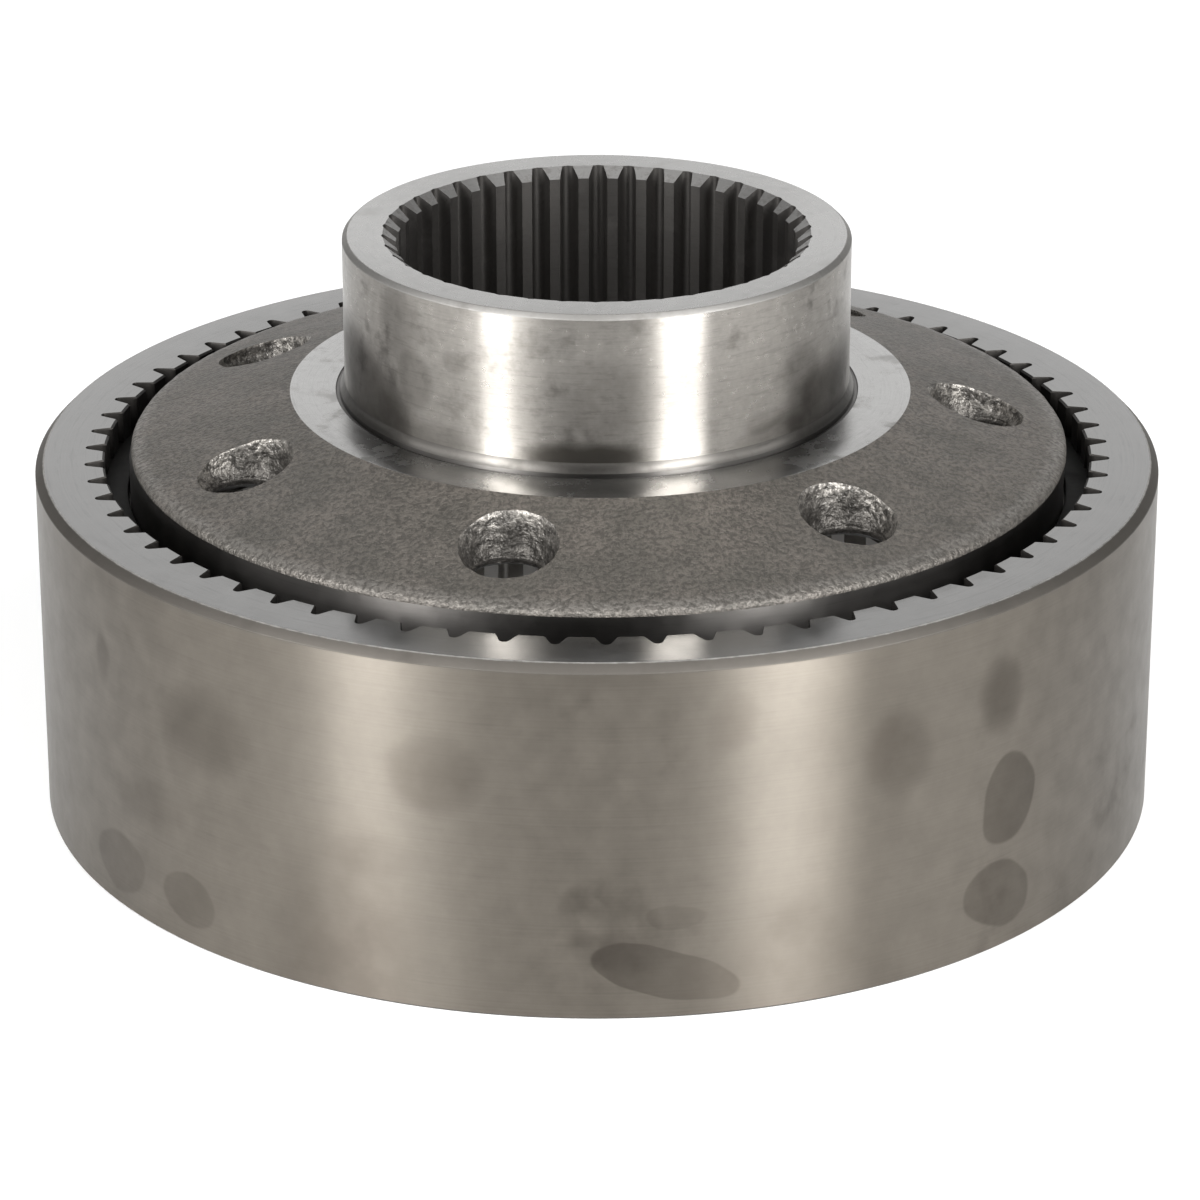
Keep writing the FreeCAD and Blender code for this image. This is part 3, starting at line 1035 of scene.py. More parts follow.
@dataclass
class RingGear:
    """The toothed ring: 68 internal teeth, bored back over the hub's seat, with a clip groove."""

    radius: float
    height: float
    tip: float = 123.75
    bored_tip: float = 127.2
    groove: float = 130.3
    seat_level: float = 58.0
    groove_floor: float = 79.85
    groove_roof: float = 84.15
    tip_chamfer: float = 0.4
    end_chamfer: float = 1.5
    top_chamfer: float = 2.1
    bottom_chamfer: float = 0.6
    edge_round: float = 0.22
    space_break: float = 0.18
    teeth: ToothRow = field(default_factory=lambda: ToothRow(
        count=68, module=3.75, space_width=5.2, root=132.2, turn=1.0, root_steps=6, land_steps=6,
        flank_radii=(123.75, 125.5, 127.2, 128.7, 130.3, 131.2),
    ))

    def section(self) -> list[Stretch]:
        """The ring's section: up the bore, over the top, down the wall and back under.

        Returns:
            The stretches, in order.
        """
        zone = RingZone
        top, out, cut, soft = self.height, self.radius, self.top_chamfer, self.edge_round
        eased = bulge(-math.radians(45.0))
        bore = [
            (self.tip, self.end_chamfer), (self.tip, self.seat_level), (self.bored_tip, self.seat_level),
            (self.bored_tip, self.groove_floor), (self.groove, self.groove_floor),
            (self.groove, self.groove_roof), (self.bored_tip, self.groove_roof),
            (self.bored_tip, top - self.tip_chamfer),
        ]
        path = [
            Stretch(radius, height, zone.LOW_TEETH if radius == self.tip else zone.TEETH, toothed=True)
            for radius, height in bore
        ]
        path.append(Stretch(
            self.bored_tip + self.tip_chamfer, top, zone.TEETH, toothed=True, spread=self.space_break
        ))
        slant = soft * math.sqrt(0.5)
        path += [
            Stretch(out - cut - soft, top, zone.FACE),
            Stretch(out - cut + slant, top - slant, zone.CHAMFER, 3, eased),
            Stretch(out - slant, top - cut + slant, zone.CHAMFER),
            Stretch(out, top - cut - soft, zone.CHAMFER, 3, eased),
            Stretch(out, self.bottom_chamfer + soft, zone.WALL, 4),
            Stretch(out, self.bottom_chamfer, zone.WALL),
            Stretch(out - self.bottom_chamfer, 0.0, zone.CHAMFER),
            Stretch(self.tip + self.end_chamfer, 0.0, zone.FACE, toothed=True, spread=self.space_break),
        ]
        return path

    def finishes(self) -> list[SteelFinish]:
        """One finish for each zone.

        Returns:
            The finishes, in the order of RingZone.
        """
        return [
            SteelFinish(
                "tooth_steel", (0.05, 0.047, 0.044), (0.03, 0.028, 0.026), 0.50, lay=0.0,
                smudge_size=0.012, smudge_cover=0.55,
            ),
            SteelFinish(
                "ground_face_steel", (0.288, 0.285, 0.280), (0.215, 0.208, 0.20), 0.18, lay=0.9,
                mark_spacing=0.0005, smudge_size=0.05, smudge_cover=0.3, smudge_weight=0.3,
            ),
            SteelFinish(
                "chamfer_steel", (0.128, 0.118, 0.106), (0.084, 0.076, 0.068), 0.56, lay=0.0,
                # its edge band is rubbed wear and a painted highlight along the top of the chamfer
                rubs_and_sheens=(RubAndSheen(self.radius - self.top_chamfer, self.height, 0.45),),
            ),
            # its stains include painted shade that dims the highlight bands towards the floor
            SteelFinish(
                "oiled_wall_steel", (0.206, 0.186, 0.159), (0.111, 0.097, 0.082), 0.375, lay=0.96,
                mark_spacing=0.0006, smudge_size=0.045, smudge_cover=0.35, smudge_weight=0.4,
                stained_and_shaded="ring", mottle=0.8, scratches=0.15,
            ),
            # painted light: a far brighter copy of the tooth steel for the lower teeth, for the lit floor
            # that they reflect
            SteelFinish(
                "low_tooth_painted_light", (0.5, 0.485, 0.465), (0.3, 0.29, 0.275), 0.45, lay=0.0,
                smudge_size=0.012,
            ),
        ]

    def build(self, groups: Groups) -> Piece:
        """Make the ring and dress it, in place of its node.

        Args:
            groups: The shared node groups.

        Returns:
            The finished ring.
        """
        angles, _ = self.teeth.outline()
        piece = revolve_section("toothed_ring", self.section(), len(angles), self.teeth)
        for finish in self.finishes():
            piece.data.materials.append(finish.build(groups))
        shade(piece)
        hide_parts("ring_gear")
        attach(piece, "root")
        return piece


# The hub


class HubZone(Enum):
    """Surfaces of the hub, in the order of its materials."""

    SPLINE = 0
    BOSS_FACE = 1
    BOSS_WALL = 2
    SHOULDER = 3
    WEB = 4
    NECK = 5
    RIM = 6
    CORED = 7
    LEAD_IN = 8
    BOSS_EDGE = 9
    FILLET = 10


@dataclass
class Hub:
    """The hub casting: toothed rim, plain neck, cast web with cored holes, shoulder, splined boss."""

    rim_tip: float
    bottom: float
    top: float
    columns: int = 672
    clip_level: float = 80.0
    neck: float = 120.8
    rim_inner: float = 113.6
    rim_chamfer: float = 0.5
    rim_edge_level: float = 96.15
    edge_round: float = 1.8
    edge_ease: float = 9.0  # radius of the gentle bend before the edge
    ease_turn: float = 14.0
    web_thickness: float = 12.5
    cast_fillet: float = 4.0
    shoulder: float = 79.8
    shoulder_aside: float = 0.85  # how far the shoulder's edge lies off the axis, towards +X
    shoulder_break: tuple[float, float, float] = (0.1, 0.15, 0.08)  # inwards, outwards and down
    skin_start: float = 2.2  # where the cast skin begins, outside the shoulder
    cast_aside: float = 0.5  # how far the cast skin lies off the axis
    shoulder_level: float = 109.1
    boss: float = 65.0
    boss_fillet: float = 3.2
    fillet_turn: float = 50.0  # degrees of the fillet above the relief groove at its foot
    relief_width: float = 1.2
    relief_depth: float = 0.3
    relief_slant: float = 0.25
    boss_chamfer: float = 1.1
    boss_edge: float = 0.2  # how far the rounds of the boss's chamfer reach along its faces
    boss_edge_slant: float = 0.14  # and along the chamfer, both ways
    boss_bottom: float = 90.0
    skirt: float = 70.5
    lead_in: float = 54.6
    lead_in_depth: float = 2.5
    hole_columns: int = 128
    hole_turn: float = 0.3
    hole_circle: float = 98.0
    hole_mouth: float = 12.4
    hole_throat: float = 9.1
    throat_level: float = 95.5
    ledge_rise: float = 0.9
    lip_depth: float = 1.2
    lip_flare: float = 0.3
    ledge_width: float = 0.9
    over_mouth: tuple[float, ...] = (-3.0, -1.2, -0.4)  # depths of the rows over a hole's mouth
    hole_rows: tuple[int, int, int] = (7, 12, 6)  # rows of points on the lip, the wall and the ledge
    bowl_share: float = 0.65  # how much of the wall's draw goes with the third power of the depth
    lump_rise: float = 0.3  # how far a lump moves up, beside how far it moves out
    throat_end: float = 94.7  # level from which the hole opens out again, downwards
    below_throat: tuple[float, ...] = (92.2, 90.0, 80.0)
    opening_slope: float = 1.6
    opening_limit: float = 4.3
    hole_sizes: tuple[float, ...] = (0.965, 0.98, 1.0, 0.965, 0.97, 0.98, 0.955)
    first_seed: int = 11  # of the first hole's lumps
    rim_floor: float = 126.6
    rim_stations: tuple[float, ...] = (128.0, 129.5, 130.6)  # radii at which a rim tooth has points
    side_play: float = 0.15
    spline: ToothRow = field(default_factory=lambda: ToothRow(
        count=42, module=2.5, space_width=4.25, root=55.0, turn=3.95, root_steps=4, land_steps=6,
        flank_radii=(51.25, 52.3, 53.3, 54.2),
    ))

    @property
    def slope(self) -> float:
        """How far the web drops for each millimetre outwards."""
        return (self.shoulder_level - self.rim_edge_level) / (self.neck - self.shoulder)

    def web_level(self, radius: np.ndarray) -> np.ndarray:
        """Height of the web's top at a radius: a straight cone."""
        return self.shoulder_level - (radius - self.shoulder) * self.slope

    def under_level(self, radius: float) -> float:
        """Height of the web's underside at a radius."""
        return float(self.web_level(radius)) - self.web_thickness

    def lead_in_rows(self, end: float, inwards: float) -> list[Stretch]:
        """The cone that leads into the spline at one end, from the tooth tips outwards.

        Args:
            end: Height of the spline's end.
            inwards: 1 where the spline lies above that end, -1 where it lies below.

        Returns:
            The stretches, in order.
        """
        slope = self.lead_in_depth / (self.lead_in - self.spline.flank_radii[0])
        return [
            Stretch(
                radius, end + inwards * slope * (self.lead_in - radius), HubZone.LEAD_IN, toothed=True,
                flank=HubZone.SPLINE,
            )
            for radius in (*self.spline.flank_radii, self.lead_in)
        ]

    def boss_rows(self) -> list[Stretch]:
        """Up the spline, over the boss's face, down its wall and through the groove at its foot.

        Returns:
            The stretches, in order.
        """
        zone = HubZone
        top, boss, cut, level = self.top, self.boss, self.boss_chamfer, self.shoulder_level
        eased, soft, slant = bulge(-math.radians(45.0)), self.boss_edge, self.boss_edge_slant
        bend = math.radians(self.fillet_turn)
        foot = complex(boss + self.boss_fillet, level + self.boss_fillet)
        foot -= self.boss_fillet * complex(math.cos(bend), math.sin(bend))
        groove_end, groove_floor = foot.real + self.relief_width, level - self.relief_depth
        return [
            Stretch(self.spline.flank_radii[0], top - self.lead_in_depth, zone.SPLINE, toothed=True),
            *self.lead_in_rows(top, -1.0)[1:],
            Stretch(boss - cut - soft, top, zone.BOSS_FACE),
            Stretch(boss - cut + slant, top - slant, zone.BOSS_EDGE, 2, eased),
            Stretch(boss - slant, top - cut + slant, zone.BOSS_EDGE),
            Stretch(boss, top - cut - soft, zone.BOSS_EDGE, 2, eased),
            Stretch(boss, level + self.boss_fillet, zone.BOSS_WALL, 2),
            Stretch(foot.real, foot.imag, zone.FILLET, 6, bulge(bend)),
            Stretch(foot.real + self.relief_slant, groove_floor, zone.NECK),
            Stretch(groove_end - self.relief_slant, groove_floor, zone.NECK),
            Stretch(groove_end, level, zone.NECK),
        ]

    def web_rows(self) -> list[Stretch]:
        """Out over the shoulder and the web, round the web's edge and down the neck.

        The edge has two bends: a gentle one that makes the fall steeper, and then the round down
        to the neck. An arc of radius r that joins two straight lines starts r tan(turn / 2) before
        the corner where they would meet.

        Returns:
            The stretches, in order.
        """
        fall, ease = math.atan(self.slope), math.radians(self.ease_turn)
        turn = math.pi / 2.0 - fall - ease
        set_back = self.edge_round * math.tan(turn / 2.0)
        downhill, steeper = (complex(math.cos(angle), -math.sin(angle)) for angle in (fall, fall + ease))
        bent = complex(self.neck, self.rim_edge_level) - set_back * steeper
        near = bent - self.edge_ease * math.tan(ease / 2.0) * (steeper + downhill)
        lift = float(self.web_level(near.real)) - near.imag
        end = complex(self.neck, self.rim_edge_level - set_back)
        inwards, outwards, down = self.shoulder_break
        level, start = self.shoulder_level, self.shoulder + self.skin_start
        shoulder = {"zone": HubZone.SHOULDER, "aside": self.shoulder_aside}
        skin = {"zone": HubZone.WEB, "aside": self.cast_aside}
        return [
            Stretch(self.shoulder - inwards, level, steps=2, **shoulder),
            Stretch(self.shoulder + outwards, level - down, **shoulder),
            Stretch(start, float(self.web_level(start)), cast=0.7, **skin),
            Stretch(near.real, near.imag + lift, steps=32, cast=1.0, **skin),
            Stretch(bent.real, bent.imag + lift, steps=4, bulge=bulge(-ease), cast=0.8, **skin),
            Stretch(end.real, end.imag + lift, steps=6, bulge=bulge(-turn), cast=0.6, **skin),
            Stretch(self.neck, self.clip_level, HubZone.NECK, 6, cast=0.12),
        ]

    def under_rows(self) -> list[Stretch]:
        """Round the toothed rim, back under the web, and down the skirt to the spline's lower end.

        Returns:
            The stretches, in order.
        """
        zone = HubZone
        fall = math.atan(self.slope)
        along, rise = math.cos(fall), math.sin(fall)
        turn = math.pi / 2.0 - fall
        sharp = math.pi - turn
        outer, inner = (self.cast_fillet * math.tan(angle / 2.0) for angle in (turn, sharp))
        outer_level, inner_level = self.under_level(self.rim_inner), self.under_level(self.skirt)
        return [
            Stretch(self.rim_tip, self.clip_level, zone.RIM),
            Stretch(self.rim_tip, self.bottom + self.rim_chamfer, zone.RIM),
            Stretch(self.rim_tip - self.rim_chamfer, self.bottom, zone.RIM),
            Stretch(self.rim_inner, self.bottom, zone.RIM),
            Stretch(self.rim_inner, outer_level - outer, zone.WEB, 3, cast=0.4),
            Stretch(
                self.rim_inner - outer * along, outer_level + outer * rise, zone.WEB, 5, bulge(turn),
                cast=0.8,
            ),
            Stretch(self.skirt + inner * along, inner_level - inner * rise, zone.WEB, 14, cast=1.0),
            Stretch(self.skirt, inner_level - inner, zone.WEB, 6, bulge(sharp), cast=0.8),
            Stretch(self.skirt, self.boss_bottom, zone.WEB, 2, cast=0.3),
            Stretch(self.lead_in, self.boss_bottom, zone.RIM, toothed=True),
            *self.lead_in_rows(self.boss_bottom, 1.0)[-2::-1],
        ]

    def section(self) -> list[Stretch]:
        """The hub's section: up the spline, down the boss, out over the web, down the rim, back under."""
        return [*self.boss_rows(), *self.web_rows(), *self.under_rows()]

    def hole_plug(self, index: int, share: float) -> tuple[np.ndarray, Faces]:
        """The space of one cored hole, from over its mouth down through its throat.

        The radius is a function of the depth under the web: a lip that flares with the square of
        the distance to its end, a lumpy wall that draws in like a bowl, with the third power of
        the depth, a ledge as a quarter of an ellipse, and the short throat, below which it opens
        out as a cone up to a limit.

        Args:
            index: Number of the hole, round the hub's axis.
            share: Size of this hole's mouth beside the usual one.

        Returns:
            The points and the faces of a closed mesh.
        """
        bearing = np.linspace(0.0, 2.0 * math.pi, self.hole_columns, endpoint=False)
        along, aside = np.cos(bearing), np.sin(bearing)
        lip_rows, wall_rows, ledge_rows = self.hole_rows
        mouth = self.hole_mouth * share
        mouth_level = self.web_level(np.hypot(self.hole_circle + mouth * along, mouth * aside))
        ledge = self.throat_level + self.ledge_rise
        depth = np.concatenate([self.over_mouth, np.linspace(0.0, self.lip_depth, lip_rows)])[:, None]
        flare = self.lip_flare * (1.0 - np.clip(depth / self.lip_depth, -0.9, 1.0)) ** 2
        lip_heights = mouth_level - depth
        down = np.linspace(0.0, 1.0, wall_rows + 1)[1:, None]
        bowl = (1.0 - self.bowl_share) * down + self.bowl_share * down ** 3
        swing = np.linspace(0.0, math.pi / 2.0, ledge_rows + 1)[1:, None]
        low = np.array([self.throat_end, *self.below_throat])[:, None]
        opening = np.minimum(self.opening_slope * (self.throat_end - low), self.opening_limit)
        spread = np.zeros(self.hole_columns)
        radii = spread + np.concatenate([
            mouth + flare, mouth - (mouth - self.hole_throat - self.ledge_width) * bowl,
            self.hole_throat + self.ledge_width * np.cos(swing), self.hole_throat + opening,
        ])
        heights = np.concatenate([
            lip_heights, lip_heights[-1] * (1.0 - down) + ledge * down,
            ledge - self.ledge_rise * np.sin(swing) + spread, low + spread,
        ])
        points = np.stack([self.hole_circle + radii * along, radii * aside, heights], axis=-1)
        lumps = lumpy(points.reshape(-1, 3), CORE_LUMPS, self.first_seed + 2 * index)
        lumps = lumps.reshape(radii.shape)
        points += np.stack([lumps * along, lumps * aside, self.lump_rise * lumps], axis=-1)
        spin = math.radians(self.hole_turn + 360.0 / len(self.hole_sizes) * index)
        cosine, sine = math.cos(spin), math.sin(spin)
        turned = points.reshape(-1, 3) @ np.array([[cosine, sine, 0], [-sine, cosine, 0], [0, 0, 1]])
        return turned, capped_faces(len(radii), self.hole_columns)

    def rim_plug(self, gear: ToothRow, index: int) -> tuple[np.ndarray, Faces]:
        """The space between two rim teeth, which fill the ring gear's tooth spaces with side play.

        A tooth's half angle at a radius is that of the gear's space, less the play over the radius.
        The space has the rest of half a pitch.

        Args:
            gear: The ring gear's tooth row.
            index: Number of the space.

        Returns:
            The points and the faces of a closed mesh.
        """
        stations = np.array([self.rim_floor + 0.5, *self.rim_stations, self.rim_tip + 0.6])
        tooth = gear.half_angle(stations) - self.side_play / stations
        half = math.pi / gear.count - tooth
        middle = math.radians(gear.turn) + 2.0 * math.pi / gear.count * (index + 0.5)
        radii = np.concatenate([stations[::-1], [self.rim_floor], stations])
        angles = middle + np.concatenate([-half[::-1], [0.0], half])
        levels = np.array([self.bottom - 1.0, self.clip_level + 1.0])
        sides = (radii * np.cos(angles), radii * np.sin(angles), levels[:, None])
        points = np.stack([np.broadcast_to(side, (2, len(radii))) for side in sides], axis=-1)
        return points.reshape(-1, 3), capped_faces(2, len(radii))

    def cutters(self, gear: ToothRow) -> Piece:
        """All the spaces to take out of the hub, as one object.

        Args:
            gear: The ring gear's tooth row.

        Returns:
            The object, with each face's zone as its material number.
        """
        plugs = [(HubZone.CORED, *self.hole_plug(*hole)) for hole in enumerate(self.hole_sizes)]
        plugs += [(HubZone.RIM, *self.rim_plug(gear, index)) for index in range(gear.count)]
        points, faces, zones = [], [], []
        start = 0
        for zone, spots, sides in plugs:
            if mesh_volume(spots, sides) < 0.0:
                sides = [side[::-1] for side in sides]
            points.append(spots)
            faces.extend([[start + corner for corner in side] for side in sides])
            zones.extend([zone.value] * len(sides))
            start += len(spots)
        return make_object("hub_spaces", np.concatenate(points), faces, np.array(zones))

    def finishes(self) -> list[SteelFinish | CastFinish]:
        """One finish for each zone.

        Returns:
            The finishes, in the order of HubZone.
        """
        # the web's rim edge: rubbed wear, and a painted highlight where its rounding meets the lamps
        rim_rub_and_sheen = RubAndSheen(self.neck - 1.9, self.rim_edge_level + 0.2, 4.6)
        return [
            SteelFinish(
                "spline_steel", (0.135, 0.128, 0.121), (0.066, 0.062, 0.058), 0.47, lay=0.0,
                smudge_size=0.01, smudge_cover=0.5,
            ),
            SteelFinish(
                "boss_face_steel", (0.47, 0.465, 0.455), (0.36, 0.35, 0.33), 0.28, lay=0.8,
                # its edge band at the chamfer is rubbed wear and a painted highlight
                smudge_size=0.02, rubs_and_sheens=(RubAndSheen(self.boss, self.top - 0.6, 0.5),),
            ),
            SteelFinish(
                "turned_boss_steel", (0.40, 0.379, 0.349), (0.113, 0.104, 0.092), 0.29, lay=1.0,
                mark_spacing=0.0005, mottle=1.0, smudge_size=0.012, smudge_cover=0.5,
                smudge_weight=0.35, stained_and_shaded="boss", stain_and_shade_reach=0.85, scratches=0.7,
            ),
            SteelFinish(
                "turned_shoulder_steel", (0.48, 0.475, 0.465), (0.28, 0.27, 0.255), 0.225, lay=0.9,
                smudge_size=0.012, smudge_cover=0.5, smudge_weight=0.6, mottle=0.5,
            ),
            CastFinish(
                "cast_skin", (0.174, 0.155, 0.137), (0.114, 0.106, 0.093), (0.26, 0.248, 0.23), 0.50, 0.6,
                pit_weight=0.68, grain=0.0012, grain_height=0.65, speck_weight=0.2, rubs_and_sheens=(rim_rub_and_sheen,),
            ),
            SteelFinish(
                "neck_steel", (0.118, 0.112, 0.106), (0.07, 0.066, 0.061), 0.38, lay=0.9,
                smudge_size=0.02,
            ),
            SteelFinish("rim_steel", (0.12, 0.113, 0.106), (0.06, 0.056, 0.052), 0.4, lay=0.2),
            # its cone gives the holes painted shade, darker further down
            CastFinish(
                "cored_wall", (0.40, 0.378, 0.345), (0.2, 0.188, 0.172), (0.9, 0.87, 0.82), 0.44, 0.8,
                pit_weight=0.9, grain=0.0016, grain_height=0.6, speck_weight=0.35,
                cone=(self.shoulder, self.shoulder_level, self.slope),
            ),
            SteelFinish(
                "lead_in_steel", (0.36, 0.354, 0.345), (0.19, 0.183, 0.176), 0.5, lay=0.2,
                smudge_size=0.004, smudge_cover=0.6, smudge_weight=0.7,
            ),
            SteelFinish(
                "boss_edge_steel", (0.35, 0.341, 0.326), (0.212, 0.203, 0.189), 0.58, lay=0.4,
                smudge_size=0.012, smudge_cover=0.55,
            ),
            SteelFinish(
                "fillet_steel", (0.185, 0.176, 0.163), (0.09, 0.083, 0.073), 0.36, lay=0.8,
                smudge_size=0.012, smudge_cover=0.55, scratches=0.6,
            ),
        ]

    def build(self, groups: Groups, gear: ToothRow) -> Piece:
        """Make the hub, cut its holes and rim teeth, and dress it, in place of its node.

        Args:
            groups: The shared node groups.
            gear: The ring gear's tooth row.

        Returns:
            The finished hub.
        """
        piece = revolve_section("hub_casting", self.section(), self.columns, self.spline)
        spaces = self.cutters(gear)
        for finish in self.finishes():
            material = finish.build(groups)
            piece.data.materials.append(material)
            spaces.data.materials.append(material)
        cut_away(piece, spaces)
        shade(piece)
        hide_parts("hub")
        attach(piece, "root")
        return piece


# The retaining ring


@dataclass
class RetainingRing:
    """A flat spring ring with rounded edges, open at one place, lying on the hub's rim teeth."""

    bottom: float
    top: float
    outer: float = 130.0
    depth: float = 8.7
    gap: float = 14.0
    gap_turn: float = 90.0
    edge_round: float = 0.35
    columns: int = 480

    def build(self, groups: Groups) -> Piece:
        """Sweep the rounded section round the axis, from one side of the gap to the other.

        The section is a rectangle with a quarter circle at each corner, and its points go to
        (r cos a, r sin a, z).

        Args:
            groups: The shared node groups.

        Returns:
            The finished retaining ring.
        """
        inner = self.outer - self.depth
        soft = self.edge_round
        sides, levels = (inner + soft, self.outer - soft), (self.bottom + soft, self.top - soft)
        section = np.concatenate([
            complex(sides[side], levels[level])
            + soft * np.exp(1j * np.radians(start + np.linspace(0.0, 90.0, 4)))
            for side, level, start in ((0, 0, 180.0), (1, 0, 270.0), (1, 1, 0.0), (0, 1, 90.0))
        ])
        half_gap = self.gap / self.outer / 2.0
        middle = math.radians(self.gap_turn)
        sweep = np.linspace(middle + half_gap, middle + 2.0 * math.pi - half_gap, self.columns)
        points = np.stack([
            np.outer(np.cos(sweep), section.real),
            np.outer(np.sin(sweep), section.real),
            np.broadcast_to(section.imag, (self.columns, len(section))),
        ], axis=-1).reshape(-1, 3)
        piece = make_object("spring_clip", points, capped_faces(self.columns, len(section)))
        finish = SteelFinish(
            "spring_steel", (0.02, 0.019, 0.018), (0.014, 0.013, 0.012), 0.6, lay=0.0, smudge_size=0.015
        )
        piece.data.materials.append(finish.build(groups))
        shade(piece)
        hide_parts("retaining_ring")
        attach(piece, "root")
        return piece


# The studio


@dataclass(frozen=True)
class Softbox:
    """A lamp panel that faces the object. Bearing is from -Y towards +X, seen from above."""

    name: str
    bearing: float
    lift: float
    away: float
    width: float
    tall: float
    power: float

    def build(self, aim: Vector) -> Piece:
        """Hang the lamp and turn it to the object.

        Args:
            aim: The point that the lamp faces, in metres.

        Returns:
            The lamp's object.
        """
        lamp = bpy.data.lights.new(self.name, "AREA")
        lamp.shape = "RECTANGLE"
        lamp.size = self.width
        lamp.size_y = self.tall
        lamp.energy = self.power
        panel = link_object(self.name, lamp)
        bearing, lift = math.radians(self.bearing), math.radians(self.lift)
        level = math.cos(lift) * self.away
        offset = Vector((level * math.sin(bearing), -level * math.cos(bearing), math.sin(lift) * self.away))
        panel.location = aim + offset
        panel.rotation_euler = (-offset).to_track_quat("-Z", "Y").to_euler()
        return panel


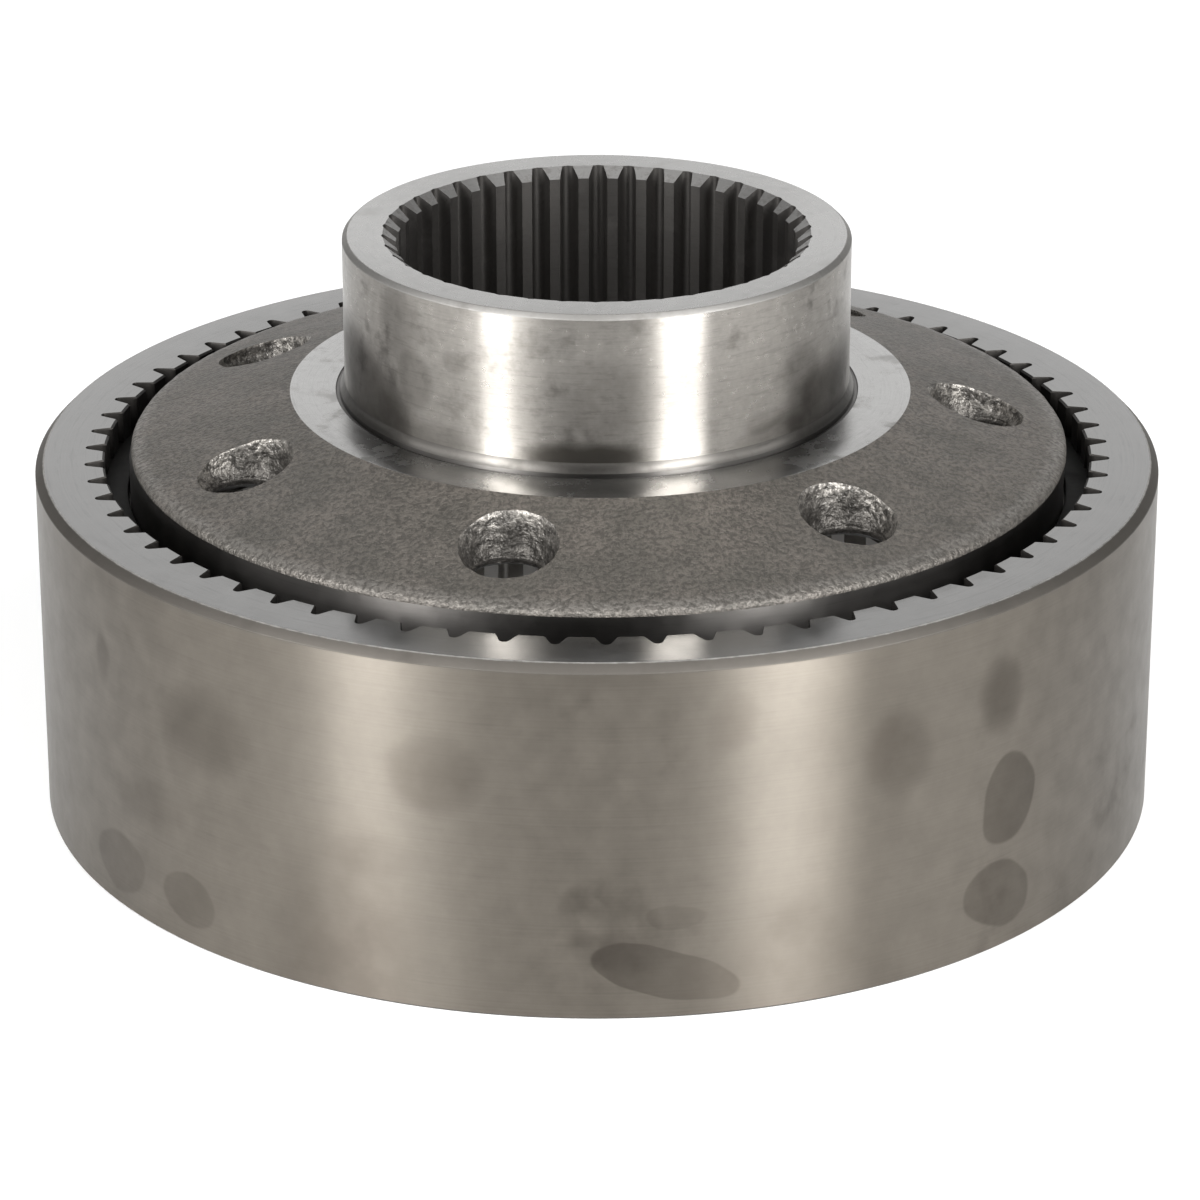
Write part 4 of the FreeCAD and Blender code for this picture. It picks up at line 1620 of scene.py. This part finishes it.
@dataclass
class Studio:
    """White floor and surround, soft lamps, and the camera where the picture was taken from."""

    lens: float = 153.55
    sensor: float = 36.0
    pitch: float = 22.62
    eye: tuple[float, float, float] = (0.0008, -1.2406, 0.5657)
    surround_light: float = 0.4  # strength of the surround as light on the object
    surround_look: float = 0.6  # what is added to that where it is seen
    floor_width: float = 30.0
    floor_white: float = 0.8
    floor_glow: float = 0.15  # added to the floor where it is seen
    floor_camera_glow: float = 0.08  # and added again for the camera alone
    flag_grey: float = 0.1
    flag_step: float = 3.0  # degrees between its meridians
    flag_rows: int = 16
    flag_away: float = 2.6
    flag_opening: float = 30.0  # half the angle at the back that the flag leaves open
    flag_low: float = 3.0
    flag_high: float = 55.0  # its lower edge over the opening
    flag_top: float = 75.0  # where it ends overhead
    lamps: tuple[Softbox, ...] = (
        Softbox("lamp_left", -44.0, 28.0, 1.7, 0.42, 1.7, 23.5),
        Softbox("halo_left", -43.0, 28.0, 1.8, 1.1, 1.7, 11.0),
        Softbox("lamp_right", 37.5, 28.0, 1.7, 0.59, 1.7, 38.0),
        Softbox("fill_left", -76.0, 28.0, 2.0, 1.3, 1.3, 9.5),
        Softbox("fill_right", 74.0, 28.0, 2.0, 1.3, 1.3, 9.5),
    )

    def seen_by_eye_or_gloss(self, tree: NodeTree) -> Socket:
        """1 for rays from the camera, off gloss or through glass, 0 for soft light.

        Args:
            tree: The tree that it is added to.

        Returns:
            The mask.
        """
        path = tree.add("ShaderNodeLightPath").outputs
        seen = tree.math("MAXIMUM", path["Is Camera Ray"], path["Is Glossy Ray"])
        return tree.math("MAXIMUM", seen, path["Is Transmission Ray"])

    def build_surround(self) -> None:
        """A white surround that lights the object less than it shows."""
        world = bpy.data.worlds.new("surround")
        world.use_nodes = True
        bpy.context.scene.world = world
        tree = NodeTree(world.node_tree)
        background = next(node for node in tree.tree.nodes if node.type == "BACKGROUND")
        seen = self.seen_by_eye_or_gloss(tree)
        strength = tree.math("MULTIPLY_ADD", seen, self.surround_look, self.surround_light)
        tree.fill(background, Color=grey(1.0), Strength=strength)

    def build_floor(self) -> Piece:
        """A white floor that keeps the object's shadow.

        Returns:
            The floor.
        """
        half = self.floor_width / 2.0
        corners = np.array([[-half, -half, 0.0], [half, -half, 0.0], [half, half, 0.0], [-half, half, 0.0]])
        floor = make_sheet("floor", corners, [[0, 1, 2, 3]])
        material, tree, _ = new_material("white_floor")
        tree.tree.nodes.clear()
        matt = tree.fill(tree.add("ShaderNodeBsdfDiffuse"), Color=grey(self.floor_white))
        camera_ray = tree.add("ShaderNodeLightPath").outputs["Is Camera Ray"]
        strength = tree.math("MULTIPLY", self.seen_by_eye_or_gloss(tree), self.floor_glow)
        strength = tree.math("MULTIPLY_ADD", camera_ray, self.floor_camera_glow, strength)
        glow = tree.fill(tree.add("ShaderNodeEmission"), Color=grey(1.0), Strength=strength)
        both = tree.add("ShaderNodeAddShader")
        for socket, part in zip(both.inputs, (matt, glow)):
            tree.feed(socket, part.outputs[0])
        tree.fill(tree.add("ShaderNodeOutputMaterial"), Surface=both.outputs[0])
        floor.data.materials.append(material)
        return floor

    def build_flag(self) -> Piece:
        """A dark tent round the object, which only reflections see.

        It is open for the floor, the back and overhead, and is part of a sphere. Its lower edge is
        at one angle all round, and higher over the opening. Each meridian is shared out evenly
        from there to the top.

        Returns:
            The flag.
        """
        bearing = np.radians(np.arange(0.0, 360.0, self.flag_step))
        beside_back = np.abs(np.degrees(bearing) - 180.0) < self.flag_opening
        low = np.where(beside_back, self.flag_high, self.flag_low)
        lift = np.radians(low + (self.flag_top - low) * np.linspace(0.0, 1.0, self.flag_rows)[:, None])
        level = self.flag_away * np.cos(lift)
        points = np.stack(
            [level * np.sin(bearing), -level * np.cos(bearing), self.flag_away * np.sin(lift)], axis=-1
        ).reshape(-1, 3)
        faces = wrapped_faces(self.flag_rows, len(bearing))[: (self.flag_rows - 1) * len(bearing)]
        flag = make_sheet("dark_flag", points, faces.tolist())
        material, tree, shader = new_material("flag_cloth")
        tree.fill(shader, Base_Color=grey(self.flag_grey), Roughness=0.9)
        flag.data.materials.append(material)
        for kind in ("camera", "diffuse", "shadow", "transmission"):
            setattr(flag, f"visible_{kind}", False)
        return flag

    def build_camera(self) -> Piece:
        """The camera, with its place and lens as found from the edges of the ring.

        Returns:
            The camera.
        """
        lens = bpy.data.cameras.new("camera")
        lens.sensor_width = self.sensor
        lens.lens = self.lens
        lens.dof.use_dof = False
        camera = link_object("camera", lens)
        camera.location = self.eye
        camera.rotation_euler = (math.radians(90.0 - self.pitch), 0.0, 0.0)
        bpy.context.scene.camera = camera
        return camera

    def build(self) -> None:
        """Set up the floor, surround, lamps, camera and view."""
        self.build_surround()
        self.build_floor()
        self.build_flag()
        low, high = cad_box
        aim = Vector([(first + second) / 2.0 for first, second in zip(low, high)])
        for lamp in self.lamps:
            lamp.build(aim)
        self.build_camera()
        bpy.context.scene.view_settings.view_transform = "Standard"


def node_span(node: str) -> tuple[float, float, float]:
    """A round node's radius, lowest and highest level, in millimetres, from the frame.

    Args:
        node: The node's name in the frame.

    Returns:
        The three lengths.
    """
    low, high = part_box(node)
    return float(high.x) / MM, float(low.z) / MM, float(high.z) / MM


def main() -> None:
    """Build the ring gear, the hub and the retaining ring, then the studio round them."""
    logging.basicConfig(level=logging.INFO)
    groups = Groups()
    ring_radius, _, ring_top = node_span("ring_gear")
    hub_radius, hub_bottom, hub_top = node_span("hub")
    _, clip_bottom, clip_top = node_span("retaining_ring")
    ring = RingGear(radius=ring_radius, height=ring_top)
    hub = Hub(rim_tip=hub_radius, bottom=hub_bottom, top=hub_top)
    clip = RetainingRing(bottom=clip_bottom, top=clip_top)
    for piece in (ring.build(groups), hub.build(groups, ring.teeth), clip.build(groups)):
        LOG.info("%s: %d faces", piece.name, len(piece.data.polygons))
    Studio().build()


if __name__ == "__main__":
    main()
